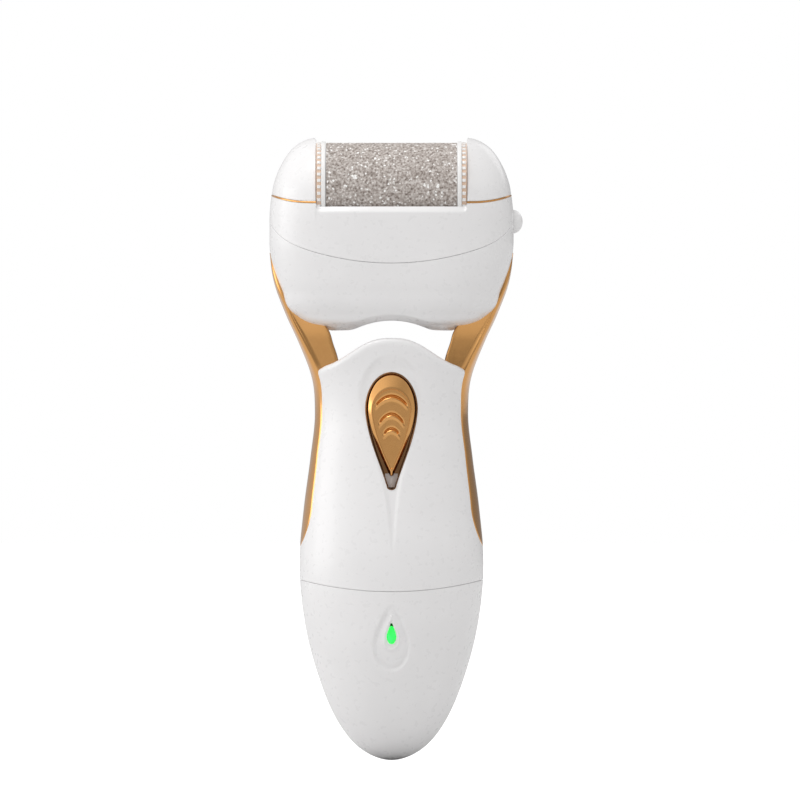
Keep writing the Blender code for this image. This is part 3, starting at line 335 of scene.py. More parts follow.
def ramp(tree, fac, stops):
    node = tree.nodes.new("ShaderNodeValToRGB")
    elements = node.color_ramp.elements
    while len(elements) < len(stops):
        elements.new(0.5)
    for element, (place, colour) in zip(elements, stops):
        element.position = place
        element.color = (*colour, 1) if len(colour) == 3 else colour
    tree.links.new(fac, node.inputs["Fac"])
    return node.outputs["Color"]


def spread(tree, fac, low, high):
    node = tree.nodes.new("ShaderNodeMapRange")
    node.inputs["From Min"].default_value = 0.3
    node.inputs["From Max"].default_value = 0.7
    node.inputs["To Min"].default_value = low
    node.inputs["To Max"].default_value = high
    tree.links.new(fac, node.inputs["Value"])
    return node.outputs["Result"]


def bumped(tree, principled, height, strength, distance):
    node = tree.nodes.new("ShaderNodeBump")
    node.inputs["Strength"].default_value = strength
    node.inputs["Distance"].default_value = distance
    tree.links.new(height, node.inputs["Height"])
    tree.links.new(node.outputs["Normal"], principled.inputs["Normal"])


def finish_of(name, dark, light, rough, metal=0.0, grain=900, stretch=(1, 1, 1), bump=0.05, coat=0.0):
    """Two close tones, a roughness and a fine relief, all varied by grain of one size."""
    material, tree, principled, coords = shader(name)
    cloud = noise(tree, coords, grain / 12, 4.0, stretch)
    fine = noise(tree, coords, grain, 3.0, stretch)
    tree.links.new(ramp(tree, cloud, ((0.3, dark), (0.7, light))), principled.inputs["Base Color"])
    tree.links.new(spread(tree, fine, rough[0], rough[1]), principled.inputs["Roughness"])
    principled.inputs["Metallic"].default_value = metal
    principled.inputs["Coat Weight"].default_value = coat
    principled.inputs["Coat Roughness"].default_value = 0.06
    bumped(tree, principled, fine, bump, 0.00002)
    return material


def grit_finish():
    material, tree, principled, coords = shader("grit")
    grains = tree.nodes.new("ShaderNodeTexVoronoi")
    grains.inputs["Scale"].default_value = 2100
    tree.links.new(coords, grains.inputs["Vector"])
    tone = ramp(tree, noise(tree, coords, 1700, 2.0), (
        (0.30, (0.20, 0.165, 0.145)), (0.42, (0.45, 0.40, 0.37)),
        (0.55, (0.60, 0.555, 0.53)), (0.70, (0.85, 0.82, 0.80)),
    ))
    # Painted shade: each grain is coloured darker from its middle out to its edge and into the gaps between
    # grains.
    shade = ramp(tree, grains.outputs["Distance"], ((0.0, (1.0, 0.99, 0.97)), (0.75, (0.62, 0.58, 0.55))))
    mix = tree.nodes.new("ShaderNodeMixRGB")
    mix.blend_type = "MULTIPLY"
    mix.inputs["Fac"].default_value = 0.8
    tree.links.new(tone, mix.inputs["Color1"])
    tree.links.new(shade, mix.inputs["Color2"])
    facets = tree.nodes.new("ShaderNodeSeparateColor")
    tree.links.new(grains.outputs["Color"], facets.inputs["Color"])
    # Painted glints: a few grains are coloured near white where their facets would catch the light.
    glint = ramp(tree, facets.outputs["Red"], ((0.935, (0, 0, 0)), (0.975, (0.9, 0.9, 0.9))))
    lit = tree.nodes.new("ShaderNodeMixRGB")
    lit.inputs["Color2"].default_value = (1.0, 0.99, 0.97, 1)
    tree.links.new(glint, lit.inputs["Fac"])
    tree.links.new(mix.outputs["Color"], lit.inputs["Color1"])
    tree.links.new(lit.outputs["Color"], principled.inputs["Base Color"])
    tree.links.new(spread(tree, noise(tree, coords, 4200, 2.0), 0.3, 0.85), principled.inputs["Roughness"])
    bumped(tree, principled, grains.outputs["Distance"], 0.55, 0.00008)
    return material


def lens_finish():
    material, tree, principled, coords = shader("lens")
    cloud = noise(tree, coords, 500, 2.0)
    tint = ramp(tree, cloud, ((0.3, (0.0, 0.62, 0.04)), (0.7, (0.02, 0.86, 0.10))))
    tree.links.new(tint, principled.inputs["Base Color"])
    tree.links.new(tint, principled.inputs["Emission Color"])
    tree.links.new(spread(tree, cloud, 0.9, 1.15), principled.inputs["Emission Strength"])
    principled.inputs["Roughness"].default_value = 0.12
    principled.inputs["Coat Weight"].default_value = 0.6
    return material


def board_finish():
    material, tree, principled, coords = shader("board")
    bricks = tree.nodes.new("ShaderNodeTexBrick")
    bricks.inputs["Scale"].default_value = 260
    bricks.inputs["Mortar Size"].default_value = 0.03
    bricks.inputs["Color1"].default_value = (0.012, 0.14, 0.05, 1)
    bricks.inputs["Color2"].default_value = (0.02, 0.19, 0.07, 1)
    bricks.inputs["Mortar"].default_value = (0.35, 0.22, 0.08, 1)
    swap = tree.nodes.new("ShaderNodeMapping")
    swap.inputs["Rotation"].default_value = (math.pi / 2, 0, 0)
    tree.links.new(coords, swap.inputs["Vector"])
    tree.links.new(swap.outputs["Vector"], bricks.inputs["Vector"])
    tree.links.new(bricks.outputs["Color"], principled.inputs["Base Color"])
    tree.links.new(spread(tree, noise(tree, coords, 800), 0.25, 0.45), principled.inputs["Roughness"])
    bumped(tree, principled, bricks.outputs["Fac"], 0.3, 0.00003)
    return material


WHITE = finish_of(
    "white", (0.80, 0.79, 0.79), (0.83, 0.82, 0.82), (0.27, 0.29),
    grain=700, bump=0.003, coat=0.12,
)
FLANGE_WHITE = finish_of(
    "white_satin", (0.82, 0.81, 0.80), (0.85, 0.84, 0.83), (0.30, 0.36), bump=0.01
)
GOLD = finish_of(
    "gold", (0.74, 0.385, 0.135), (0.80, 0.42, 0.155), (0.14, 0.20), 1.0,
    grain=800, bump=0.012,
)
# Painted shade: a warm grey for the shadowed white floor at the narrow tip of the switch recess.
SHADED_GREY = finish_of(
    "shaded_grey", (0.68, 0.62, 0.59), (0.74, 0.68, 0.65), (0.12, 0.18), bump=0.01, coat=0.4
)
TAN = finish_of("tan", (0.70, 0.50, 0.37), (0.78, 0.58, 0.45), (0.35, 0.45), bump=0.03)
# Painted shade: the gold's hue darkened to about a quarter, for the dark lining of the switch recess.
SHADED_BRONZE = finish_of(
    "bronze", (0.20, 0.10, 0.045), (0.27, 0.14, 0.065), (0.10, 0.16), 1.0,
    grain=700, bump=0.012,
)
GRIT = grit_finish()
GREY = finish_of(
    "grey", (0.34, 0.34, 0.36), (0.42, 0.42, 0.44), (0.38, 0.52), grain=1200, bump=0.2
)
NYLON = finish_of(
    "nylon", (0.72, 0.70, 0.62), (0.80, 0.78, 0.70), (0.34, 0.46), grain=1000, bump=0.1
)
STEEL = finish_of(
    "steel", (0.50, 0.50, 0.52), (0.62, 0.62, 0.64), (0.20, 0.38), 1.0, grain=1500,
    stretch=(0.06, 1, 1), bump=0.15,
)
NICKEL = finish_of(
    "nickel", (0.64, 0.62, 0.58), (0.74, 0.72, 0.68), (0.22, 0.36), 1.0, grain=1500,
    stretch=(1, 1, 0.06), bump=0.12,
)
BLACK = finish_of(
    "black", (0.018, 0.018, 0.02), (0.035, 0.035, 0.038), (0.32, 0.5), grain=1300, bump=0.2
)
BOARD = board_finish()
LENS = lens_finish()
WRAP = finish_of(
    "wrap", (0.03, 0.17, 0.34), (0.06, 0.25, 0.44), (0.22, 0.34), grain=500, bump=0.1, coat=0.3
)
JACKET = finish_of(
    "jacket", (0.48, 0.03, 0.025), (0.60, 0.05, 0.04), (0.38, 0.5), bump=0.1
)

CAD_LOOKS = {
    "white_plastic": WHITE, "gold_plating": GOLD, "bronze_lining": SHADED_BRONZE, "mineral_grit": GRIT,
    "grey_plastic": GREY, "gear_nylon": NYLON, "steel": STEEL, "nickel": NICKEL, "black_plastic": BLACK,
    "green_board": BOARD,
    "green_lens": LENS, "cell_wrap": WRAP, "wire_jacket": JACKET,
}


def dress_cad_nodes():
    """Every CAD node that stays visible takes the finish of its material slot."""
    slots = {part["node"]: part["material_slot"] for part in frame["record"]["subparts"]}
    for name, node in NODES.items():
        node.data.materials.clear()
        node.data.materials.append(CAD_LOOKS[slots[name]])


# ---- head
def lip(edge, inward):
    """Rows over the edge of a shell: rounded, then in across the wall and down its inside."""
    inside = edge + inward * WALL
    return fillet(edge - UP * SEAM_SOFT, edge, edge + inward * SEAM_SOFT, 4) + [inside, inside - UP * 2]


def inward_of(c, side, z, table=BODY_TABLE):
    """The level direction into the object, square to the form, in each column."""
    step = 0.02
    here = on_form(c, side, z, table)
    ahead, behind = (on_form(np.clip(c + s, -1, 1), side, z, table) for s in (step, -step))
    across = ahead - behind
    normal = np.stack((across[..., 1], -across[..., 0], 0 * across[..., 0]), axis=-1) * -side[..., None]
    length = np.linalg.norm(normal, axis=-1, keepdims=True)
    normal = normal / np.maximum(length, 1e-9)
    ends = np.abs(c) > 0.999
    normal[ends] = np.stack((np.sign(c[ends]), 0 * c[ends], 0 * c[ends]), axis=-1)
    outwards = np.sign(np.sum(normal * (here * (1, 1, 0)), axis=-1, keepdims=True))
    return -normal * outwards


def all_round(c):
    """Columns along the front from -X to +X, then back along the rear. Returns c and side."""
    return np.concatenate((c, c[-2:0:-1])), np.concatenate((-np.ones(len(c)), np.ones(len(c) - 2)))


def half_round(side_x, count):
    """Columns along the front out to one side, then back along the rear. Returns c and side."""
    c = np.linspace(CORE, 1, count) * side_x
    return np.concatenate((c, c[-2::-1])), np.concatenate((-np.ones(count), np.ones(count - 1)))


def bowl():
    """The lower head shell, with its arched underside."""
    c, side = all_round(columns(26, 34))
    low = solve_height(notch, c, side, ARCH_FOOT, 112, BOWL_TABLE)
    high = solve_height(head_seam, c, side, 120, 134.5, BOWL_TABLE)
    edge = on_form(c, side, low, BOWL_TABLE)
    soft = 1.7
    rows = [edge * (1, k, 1) for k in (0.0, 0.2, 0.4, 0.6, 0.72)]
    chamfer = np.minimum(1.9, 0.25 * np.abs(edge[:, 1]))
    inner = edge - np.stack((0 * c, np.sign(edge[:, 1]) * chamfer, 0 * c), axis=-1)
    outer = on_form(c, side, low + soft - 0.25, BOWL_TABLE)
    rows += fillet(inner * (1, 0.97, 1), inner, inner + (outer - inner) * 0.25, 5)
    rows += fillet(inner + (outer - inner) * 0.75, outer, on_form(c, side, low + soft, BOWL_TABLE), 5)
    for t in np.linspace(0, 1, 90)[1:-1]:
        rows.append(on_form(c, side, low + soft + (high - SEAM_SOFT - low - soft) * t, BOWL_TABLE))
    rows += lip(on_form(c, side, high, BOWL_TABLE), inward_of(c, side, high, BOWL_TABLE))
    return skin("bowl", rows, "head_bowl", [button_cutter()])


def cutter(name, points, faces):
    mesh = bpy.data.meshes.new(name)
    mesh.from_pydata(((np.asarray(points, float) + SHIFT) * MM).tolist(), [], faces)
    outward(mesh)
    obj = bpy.data.objects.new(name, mesh)
    bpy.context.scene.collection.objects.link(obj)
    return obj


def prism(name, near, far):
    """A cutter between two equal outlines, with its ends closed."""
    count = len(near)
    ends = [tuple(range(count))[::-1], tuple(range(count, 2 * count))]
    return cutter(name, np.vstack((near, far)), grid_faces(2, count) + ends)


def drill(name, axis, centre, radius, low, high, segments):
    """A round cutter along an axis."""
    points, _ = lathe(((low, radius), (high, radius)), axis, centre, segments)
    return prism(name, points[:segments], points[segments:])


def button_cutter():
    return drill("button_hole", "X", (0, 0, BUTTON_Z), 3.1, 22, 36, 48)


def trim(obj, *cutters, angle=40):
    """Cuts the shape and keeps the result as a plain mesh."""
    for tool in cutters:
        modifier = obj.modifiers.new(tool.name, "BOOLEAN")
        modifier.object = tool
        modifier.solver = "MANIFOLD"
    bpy.context.view_layer.update()
    graph = bpy.context.evaluated_depsgraph_get()
    mesh = bpy.data.meshes.new_from_object(obj.evaluated_get(graph))
    obj.modifiers.clear()
    obj.data = mesh
    keep_in_box(mesh)
    mesh.polygons.foreach_set("use_smooth", np.ones(len(mesh.polygons), bool))
    mesh.set_sharp_from_angle(angle=math.radians(angle))
    for tool in cutters:
        bpy.data.objects.remove(tool)


def front_lip(x):
    """The height of the opening's front edge, with its corners turned up into the lobes."""
    rise = np.clip((np.abs(x) - (OPENING - 1.4)) / 1.4, 0, 1)
    return 138.7 + 0.8 * (1 - np.sqrt(np.maximum(0, 1 - rise**2)))


def walled(obj, thick, offset):
    wall = obj.modifiers.new("wall", "SOLIDIFY")
    wall.thickness = thick * MM
    wall.offset = offset


def skin(name, rows, node, cutters, wrap=True, thick=0.5):
    """A casing's outer surface, given a wall and then cut."""
    shell = loft(name, rows, WHITE, "housing", (node,), wrap, smooth_angle=50)
    walled(shell, thick, -1)
    trim(shell, *cutters, angle=50)


def collar():
    """The upper head shell, from its seam to the opening, the lobes' parting and the hood."""
    c = columns(40, 40)
    step = 2e-4  # makes the corner beside each lobe a sharp one
    c, side = all_round(np.sort(np.concatenate((c, (CORE + step, -CORE - step)))))
    middle = np.abs(c) <= CORE + 1e-9
    start = solve_height(lambda x: head_seam(x) + 0.07, c, side, 120, 134.5)
    high = solve_height(parting, c, side, 138, 143)
    x = on_form(c, side, high)[:, 0]
    top = np.where(middle, np.where(side < 0, front_lip(x), HOOD_TOP), high)
    edge = on_form(c, side, start)
    inner = inward_of(c, side, start)
    rows = [edge + inner * WALL + UP * 2, edge + inner * WALL]
    rows += fillet(edge + inner * SEAM_SOFT, edge, on_form(c, side, start + SEAM_SOFT), 4)
    soft = np.where(middle, 1.7, 0.12)
    for t in np.linspace(0, 1, 70)[1:-1]:
        rows.append(on_form(c, side, start + SEAM_SOFT + (top - soft - start - SEAM_SOFT) * t))
    edge = on_form(c, side, top)
    in_y = np.stack((0 * c, -side, 0 * c), axis=-1)
    beside = edge + np.where(middle[:, None], 0.9 * in_y, SEAM_SOFT * inward_of(c, side, top))
    corner = on_form(c, side, top - soft * 0.8)
    rows += fillet(on_form(c, side, top - soft), corner, corner + (beside - corner) * 0.2, 4)
    rows.append(corner + (beside - corner) * 0.5)
    past = beside + np.where(middle[:, None], 0.12 * in_y, 0)
    rows += fillet(corner + (beside - corner) * 0.85, beside, past, 4)
    rows.append(np.where(middle[:, None], rows[-1], edge + inward_of(c, side, top) * WALL))
    skin("collar", rows, "head_collar", [button_cutter()], thick=0.35)


def trough():
    """The hollow under the roller, from the opening's front edge to the hood's top."""
    clear = ROLLER_R + 0.8
    drop = ROLLER_Z - 138.2
    path = []
    for turn in np.linspace(math.pi + math.asin(drop / clear), 2 * math.pi - 0.02, 44):
        path.append((ROLLER_Y + clear * math.cos(turn), ROLLER_Z + clear * math.sin(turn)))
    path += [(8.4, 146.0)] + arc((9.2, HOOD_TOP - 0.8), 0.8, 180, 90, 6) + [(13.0, HOOD_TOP)]
    c = np.linspace(-CORE, CORE, 60)
    front = on_form(c, -1 + 0 * c, front_lip(2 * c * OPENING)) + (0, 1.0, 0)
    rear = on_form(c, 1 + 0 * c, HOOD_TOP + 0 * c) + (0, -1.0, 0)
    x = front[:, 0]
    rows = [front] + [np.stack((x, 0 * x + y, 0 * x + z), axis=-1) for y, z in path] + [rear]
    loft("trough", rows, WHITE, "housing", wrap=False, smooth_angle=50, solid=False)


def lobe(side_x, name):
    """One top corner: outer dome, inner wall beside the roller, and the edge rounded between them."""
    c, side = half_round(side_x, 44)
    low = solve_height(lambda x: parting(x) + 0.5, c, side, 138, 144)
    soft = 0.55

    def ring(t):
        """The lobe's outline at the share t of the way up from the parting to the top."""
        z = low + (TOP - low) * t
        outer = on_form(c, side, z, LOBE_TABLE)
        rise = min(1.0, max(0.0, (float(np.min(z)) - TOP + 0.6) / 0.6))
        x = OPENING + 0.45 * (1 - math.sqrt(1 - rise**2))
        outer[:, 0] = side_x * np.maximum(side_x * outer[:, 0], x)
        first, last = outer[0], outer[-1]
        wall = [np.array((side_x * x, y, last[2])) for y in np.linspace(last[1] - soft, first[1] + soft, 25)]
        start = fillet(outer[-2], last, wall[0], 5)
        end = fillet(wall[-1], first, outer[1], 5)
        return np.vstack((outer[1:-1], start[1:-1], wall, end[1:-1]))

    base, top = ring(0.0), ring(1.0)
    centre = np.array((side_x * 24.0, 0, 0))
    inset = base + (centre - base) * (1, 1, 0) * 0.08
    rows = [inset] + fillet(base + (inset - base) * 0.12, base, ring(0.016), 3)
    for t in 1 - (1 - np.linspace(0.016, 1, 90)[1:-1]) ** 1.5 * 0.999:
        rows.append(ring(t))
    rows += [top * (1, k, 1) for k in (1.0, 0.6, 0.3, 0.0)]
    loft(name, rows, WHITE, "housing", (f"{name}_cover",), smooth_angle=60)


def trim_line(side_x, name):
    """The thin gold line between a lobe and the collar, a little proud of both."""
    c, side = half_round(side_x, 60)
    low = solve_height(lambda x: parting(x) + 0.05, c, side, 138, 144)
    section = (
        (1.2, 0.0), (0.06, 0.0), (0.0, 0.05), (-0.02, 0.13),
        (-0.02, 0.25), (0.0, 0.33), (0.06, 0.4), (1.2, 0.4),
    )
    rows = [on_form(c, side, low + rise, inset=inset) for inset, rise in section]
    loft(name, rows, GOLD, "housing", (name,), wrap=False, smooth_angle=60, solid=False)


# ---- handle
RELIEF = np.array((
    (48.5, 0.02), (56, 0.75), (62, 1.25), (66, 1.8), (70, 2.6), (76, 4.3), (82, 6.1), (87, 7.9), (90.5, 8.8),
))
RELIEF_TOP = 101.6


def dish(x, z):
    """How far the face is hollowed round the switch, and along the crease that runs down from it."""
    last, widest = RELIEF[-1]
    half = np.interp(z, RELIEF[:, 0], RELIEF[:, 1], left=0)
    dome = np.sqrt(np.maximum(0, 1 - ((z - last) / (RELIEF_TOP - last)) ** 2))
    half = np.where(z > last, widest * dome, half)
    run = np.interp(z, (60, 72, 84), (0.8, 1.1, 2.6)) * np.where(z > last, np.maximum(dome, 0.35), 1)
    inside = np.clip((half - np.abs(x - 0.3 * np.clip((72 - z) / 10, 0, 1))) / run, 0, 1)
    fade = np.clip((z - 48.5) / 14, 0, 1) * np.clip((RELIEF_TOP - z) / 3.5, 0, 1)
    return 0.38 * fade * inside * inside * (3 - 2 * inside)


def face_y(x, z):
    """The front of the handle at (x, z), before the dish."""
    width, depth, power = look_up(BODY_TABLE, z)
    return -depth * rounded(x, width, power)


def handle_half(side, name, cutters):
    """One half of the handle's casing, from the cap's seam to its turned-in top edge."""
    c = columns(64, 36) if side < 0 else columns(26, 36)
    sides = side * np.ones(len(c))
    low = solve_height(lambda x: cap_seam(x) + 0.1, c, sides, 41, 47)
    high = solve_height(bell, c, sides, 96, 106)
    edge = on_form(c, sides, low)
    inner = inward_of(c, sides, low)
    rows = [edge + inner * WALL + UP * 2, edge + inner * WALL]
    rows += fillet(edge + inner * SEAM_SOFT, edge, on_form(c, sides, low + SEAM_SOFT), 4)
    soft = 1.9
    for t in np.linspace(0, 1, 170 if side < 0 else 90)[1:-1]:
        row = on_form(c, sides, low + SEAM_SOFT + (high - soft - low - SEAM_SOFT) * t)
        if side < 0:
            row[:, 1] += dish(row[:, 0], row[:, 2])
        rows.append(row)
    edge = on_form(c, sides, high)
    turn_in = np.minimum(soft, 0.6 * np.abs(edge[:, 1]))[:, None] * np.array((0.0, -side, 0.0))
    rows += fillet(on_form(c, sides, high - soft), edge, edge + turn_in, 12)
    last = rows[-1]
    for k in (0.7, 0.4, 0.15, 0.0):
        row = last.copy()
        row[:, 1] = side * SPLIT + (last[:, 1] - side * SPLIT) * k
        rows.append(row)
    points = np.stack(rows)
    points[..., 1] = side * np.maximum(SPLIT, points[..., 1] * side)
    skin(name, points, f"handle_{name}_shell", cutters, wrap=False)


STRIP_TABLE = smooth_table(np.array((
    (63, 9.0), (71, 8.6), (79, 8.1), (88, 7.9), (96, 8.6), (101, 8.3), (106, 8.1), (112, 8.3),
)))


def strip_half(z):
    """Half the depth of an arm's side strip."""
    middle = np.interp(z, *STRIP_TABLE.T)
    low = 9.0 * np.maximum(0, 1 - ((STRIP_LOW - z) / STRIP_FOOT) ** 2) ** 0.385
    high = 8.3 * np.sqrt(np.maximum(0, 1 - ((z - STRIP_HIGH) / STRIP_TIP) ** 2))
    return np.where(z < STRIP_LOW, low, np.where(z > STRIP_HIGH, high, middle))


def strip_cutter(side_x):
    """The room for an arm's strip in the handle's side."""
    z = STRIP_LOW - (STRIP_FOOT + 0.15) * np.sin(np.linspace(math.pi / 2, 0, 24))
    z = np.concatenate((z, np.linspace(STRIP_LOW + 1, STRIP_HIGH, 30)))
    y = np.concatenate(([0.0], strip_half(z[1:]) + 0.14))
    outline = np.concatenate((np.stack((y, z), -1), np.stack((-y, z), -1)[:0:-1]))
    near, far = (np.column_stack((np.full(len(outline), side_x * x), outline)) for x in (16.4, 34))
    return prism("strip_room", near, far)


def drop_outline(top, waist, tip, half, grow=0.0, count=160, blunt=0.8):
    """A drop in (x, z): half an ellipse on top and two hollowing sides down to a small round tip."""
    out = []
    for turn in np.linspace(0, math.pi, count // 2, endpoint=False):
        out.append(((half + grow) * math.cos(turn), waist + (top - waist + grow) * math.sin(turn)))
    blunt = blunt + grow * 0.6
    for s in np.linspace(0, 1, count // 4, endpoint=False):
        width = max(half * (1 - s**1.6) + grow * (1 - s), 0)
        width += blunt * math.sqrt(1 - (1 - s) ** 2) * s**6
        out.append((-width, waist - (waist - tip) * s))
    foot = out[-1]
    for turn in np.linspace(0, math.pi, 14)[1:-1]:
        out.append((foot[0] * math.cos(turn), foot[1] - abs(foot[0]) * math.sin(turn) * 0.7))
    left = [p for p in out[count // 2:] if p[1] >= foot[1]]
    out += [(-x, z) for x, z in left[::-1]]
    return np.array(out)


def drop_cutter(outline, near, far):
    ends = (np.column_stack((outline[:, 0], np.full(len(outline), y), outline[:, 1])) for y in (near, far))
    return prism("drop_room", *ends)


def bezel():
    """The lining, coloured dark bronze as painted shade in the switch recess: a thin rolled rim, sloping
    walls, and a floor with the slot for the slider's neck.
    """
    rows = []
    lip_section = ((0.16, -0.3), (0.16, -0.02), (0.12, 0.03), (0.06, 0.03), (0.02, -0.02), (0.0, -0.15))
    for grow, proud in lip_section:
        outline = drop_outline(*RECESS, grow=grow)
        x, z = outline.T
        rows.append(np.stack((x, face_y(x, z) + dish(x, z) - proud, z), axis=-1))
    rim = rows[-1]
    for t in np.linspace(0, 1, 16)[1:]:
        outline = drop_outline(*RECESS, grow=-0.08 * t)
        y = rim[:, 1] + (FLOOR_Y - rim[:, 1]) * t
        rows.append(np.stack((outline[:, 0], y, outline[:, 1]), axis=-1))
    floor = rows[-1]
    for k in np.linspace(0, 1, 30)[1:]:
        row = floor.copy()
        row[:, 0] *= 1 - k
        row[:, 2] = 84 + (row[:, 2] - 84) * (1 - k * 0.5)
        rows.append(row)
    piece = loft("bezel", rows, SHADED_BRONZE, "housing", ("switch_bezel",), smooth_angle=55, solid=False)
    walled(piece, 0.3, 0)
    trim(piece, box_cutter((-1.8, 1.8), (-14, -8), (79.6, 88.4)), angle=55)


def bezel_tip():
    """The grey wedge that fills the lining's narrow end, with a ridge down its middle; its grey is painted
    shade on the white recess floor.
    """
    rows = []
    for t in np.linspace(0, 1, 14):
        half = 1.62 - 0.85 * t**1.5
        face = -14.95 + 0.4 * (1 - t)
        edge, back = face + 0.25, face + 1.4
        ring = [(-half, back), (-half, edge), (-half * 0.3, face), (0, face - 0.12), (half * 0.3, face)]
        ring += [(half, edge), (half, back), (0, back)]
        rows.append([(x, y, WEDGE_TOP - 3.45 * t) for x, y in ring])
    first, last = ([(0, y, z) for _, y, z in rows[k]] for k in (0, -1))
    loft("bezel_tip", [first] + rows + [last], SHADED_GREY, "housing", smooth_angle=30)


def box(x, y, z):
    """Points and faces of a box between two places on each axis."""
    points = [(a, b, c) for a in x for b in y for c in z]
    return points, [(0, 1, 3, 2), (4, 6, 7, 5), (0, 4, 5, 1), (2, 3, 7, 6), (0, 2, 6, 4), (1, 5, 7, 3)]


def hood_end(side_x, name):
    """The hood's solid end, which closes the corner between its top edge and the lobe."""
    across = sorted((side_x * 18.0, side_x * 19.3))
    solid = joined(box(across, (10.5, 12.25), (147, 149.65)), box(across, (12.2, 13.4), (145, 148.6)))
    make(name, *solid, WHITE, "housing", smooth_angle=30)


def box_cutter(x, y, z):
    return cutter("box_room", *box(x, y, z))


def slider():
    """The gold thumb slider: bevelled all round, with three crescent steps for grip."""
    front = -16.0
    base = drop_outline(96.8, 88.0, 71.2, 5.85, blunt=0.3)
    flat = drop_outline(93.4, 87.6, 72.2, 5.0, blunt=0.12)
    brim = -15.35 + 0.75 * np.clip((base[:, 1] - 88) / 9, 0, 1) ** 2
    over_wedge = base[:, 1] < WEDGE_TOP + 2.8
    under = np.where(over_wedge, brim + 0.03, -12.2)
    rows = [np.stack((base[:, 0], y, base[:, 1]), axis=-1) for y in (under, (brim + under) / 2, brim)]
    low = rows[-1]
    high = np.stack((flat[:, 0], np.full(len(flat), front), flat[:, 1]), axis=-1)
    first = low + (high - low) * 0.1
    rows += fillet(low + (0, 0.25, 0), low, first, 4)
    for t in np.linspace(0.1, 0.9, 12)[1:]:
        rows.append(low + (high - low) * t)
    centre = np.array((0, front, 85.5))
    rows += fillet(low + (high - low) * 0.93, high, high + (centre - high) * 0.05, 4)
    for s in np.linspace(0.05, 1, 80)[1:]:
        row = high + (centre - high) * s
        x, z = row[:, 0], row[:, 2]
        for apex, half, fall in CRESCENTS:
            off = z - (apex - fall * (x / half) ** 2)
            fade = np.clip((half - np.abs(x)) / 0.7, 0, 1)
            lift = 0.32 * np.exp(-((off + 0.42) / 0.34) ** 2) - 0.48 * np.exp(-((off - 0.28) / 0.34) ** 2)
            row[:, 1] -= np.minimum(0.0, lift * fade) + 0.45 * np.maximum(0.0, lift * fade)
        row[:, 1] += 0.25
        rows.append(row)
    points = np.stack(rows)
    points[..., 1] = np.maximum(points[..., 1], front + 0.01)
    neck = box((-1.5, 1.5), (-13.4, -10.6), (81.9, 88.1))
    carrier = box((-4.5, 4.5), (-11, -9.9), (79, 91))
    solid = joined((points, grid_faces(*points.shape[:2])), neck, carrier)
    make("slider", *solid, GOLD, "power_slider", ("power_slider",), smooth_angle=40)


# ---- arms
def side_x_at(y, z, table=BODY_TABLE):
    """The outer form's side at (y, z)."""
    width, depth, power = look_up(table, z)
    return width * rounded(y, depth, power)


INNER = smooth_table(np.array((
    (50, 19.6), (57, 19.3), (70, 17.6), (82, 15.9), (92, 14.2), (97, 13.0), (100.6, 13.4), (104.4, 14.6),
    (108.1, 15.9), (111, 18.4), (114, 22.4), (118, 25.5), (123, 27.8), (130, 29.4),
)))  # height, and the distance of an arm's inner face from the middle


def arm(side_x, name):
    """A gold side arm: a strip set in the handle's side, which forks up and cups the bowl."""
    swing = np.linspace(0, math.pi / 2, 20)
    heights = np.concatenate((
        STRIP_LOW - STRIP_FOOT * np.cos(swing),
        np.linspace(STRIP_LOW, STRIP_HIGH, 130)[1:-1],
        STRIP_HIGH + STRIP_TIP * np.sin(swing),
    ))
    rows = []
    for z in heights:
        half = float(strip_half(z))
        soft = min(float(np.interp(z, (60, 80, 96, 112), (0.7, 0.8, 1.5, 0.9))), 0.5 * half)

        def outer(y):
            form = side_x_at(y, z)
            if z > STRIP_HIGH:
                form = np.maximum(form, side_x_at(y, z, BOWL_TABLE) + 0.14)
            return float(form) + 0.02

        reach = outer(half)
        inner = min(float(np.interp(z, *INNER.T)), reach - 0.6)
        lean = 0.13 * np.clip((z - 95) / 4, 0, 1) * np.clip((116 - z) / 4, 0, 1)
        across = np.linspace(inner + soft * 0.4, reach - soft, 10)
        front = [np.array((x, -half + lean * (x - inner))) for x in across]
        strip = [np.array((outer(y), y)) for y in np.linspace(-half + soft, half - soft, 28)]
        crease = fillet(front[-1], np.array((reach, -half)), strip[0], 5)
        back = [p * (1, -1) for p in (front + crease[1:-1])[::-1]]
        inside = [np.array((inner, y)) for y in np.linspace(half - soft, -half + soft, 8)]
        corner_a = fillet(back[-1], np.array((inner, half)), inside[0], 5)
        corner_b = fillet(inside[-1], np.array((inner, -half)), front[0], 5)
        ring = front + crease[1:-1] + strip + back + corner_a[1:-1] + inside + corner_b[1:-1]
        rows.append([(side_x * p[0], p[1], z) for p in ring])
    loft(name, rows, GOLD, "housing", (name,), smooth_angle=60)


# ---- end cap
def cap_relief(x, z):
    """The hollowed drop round the charge light: a soft groove, and a small raised ring inside it."""
    waist, half, foot, peak = 28.8, 4.0, 5.6, 10.2
    up = np.clip((z - waist) / peak, 0, 1)
    beside = (np.abs(x) - half * (1 - up**1.5)) * 0.9
    below = (np.hypot(x / half, (waist - z) / foot) - 1) * np.where(np.abs(x) > 0.01, 4.6, foot)
    off = np.where(z < waist, below, beside)
    groove = 0.46 * np.exp(-((off / 0.5) ** 2)) + 0.24 * np.clip(-off / 0.7, 0, 1)
    groove *= np.clip((waist + 10.4 - z) / 3.0, 0, 1)
    outside = (z > waist + 10.4) | (z < waist - 6.8)

    waist, half, foot, peak = 30.2, 1.85, 2.3, 5.6
    up = np.clip((z - waist) / peak, 0, 1)
    below = (np.hypot(x / half, (waist - z) / foot) - 1) * 2.0
    off = np.where(z < waist, below, np.abs(x) - half * (1 - up**1.6))
    ring = -0.3 * np.exp(-((off / 0.34) ** 2)) * (z < waist + 6.2)
    return np.where(outside, 0, groove + ring)


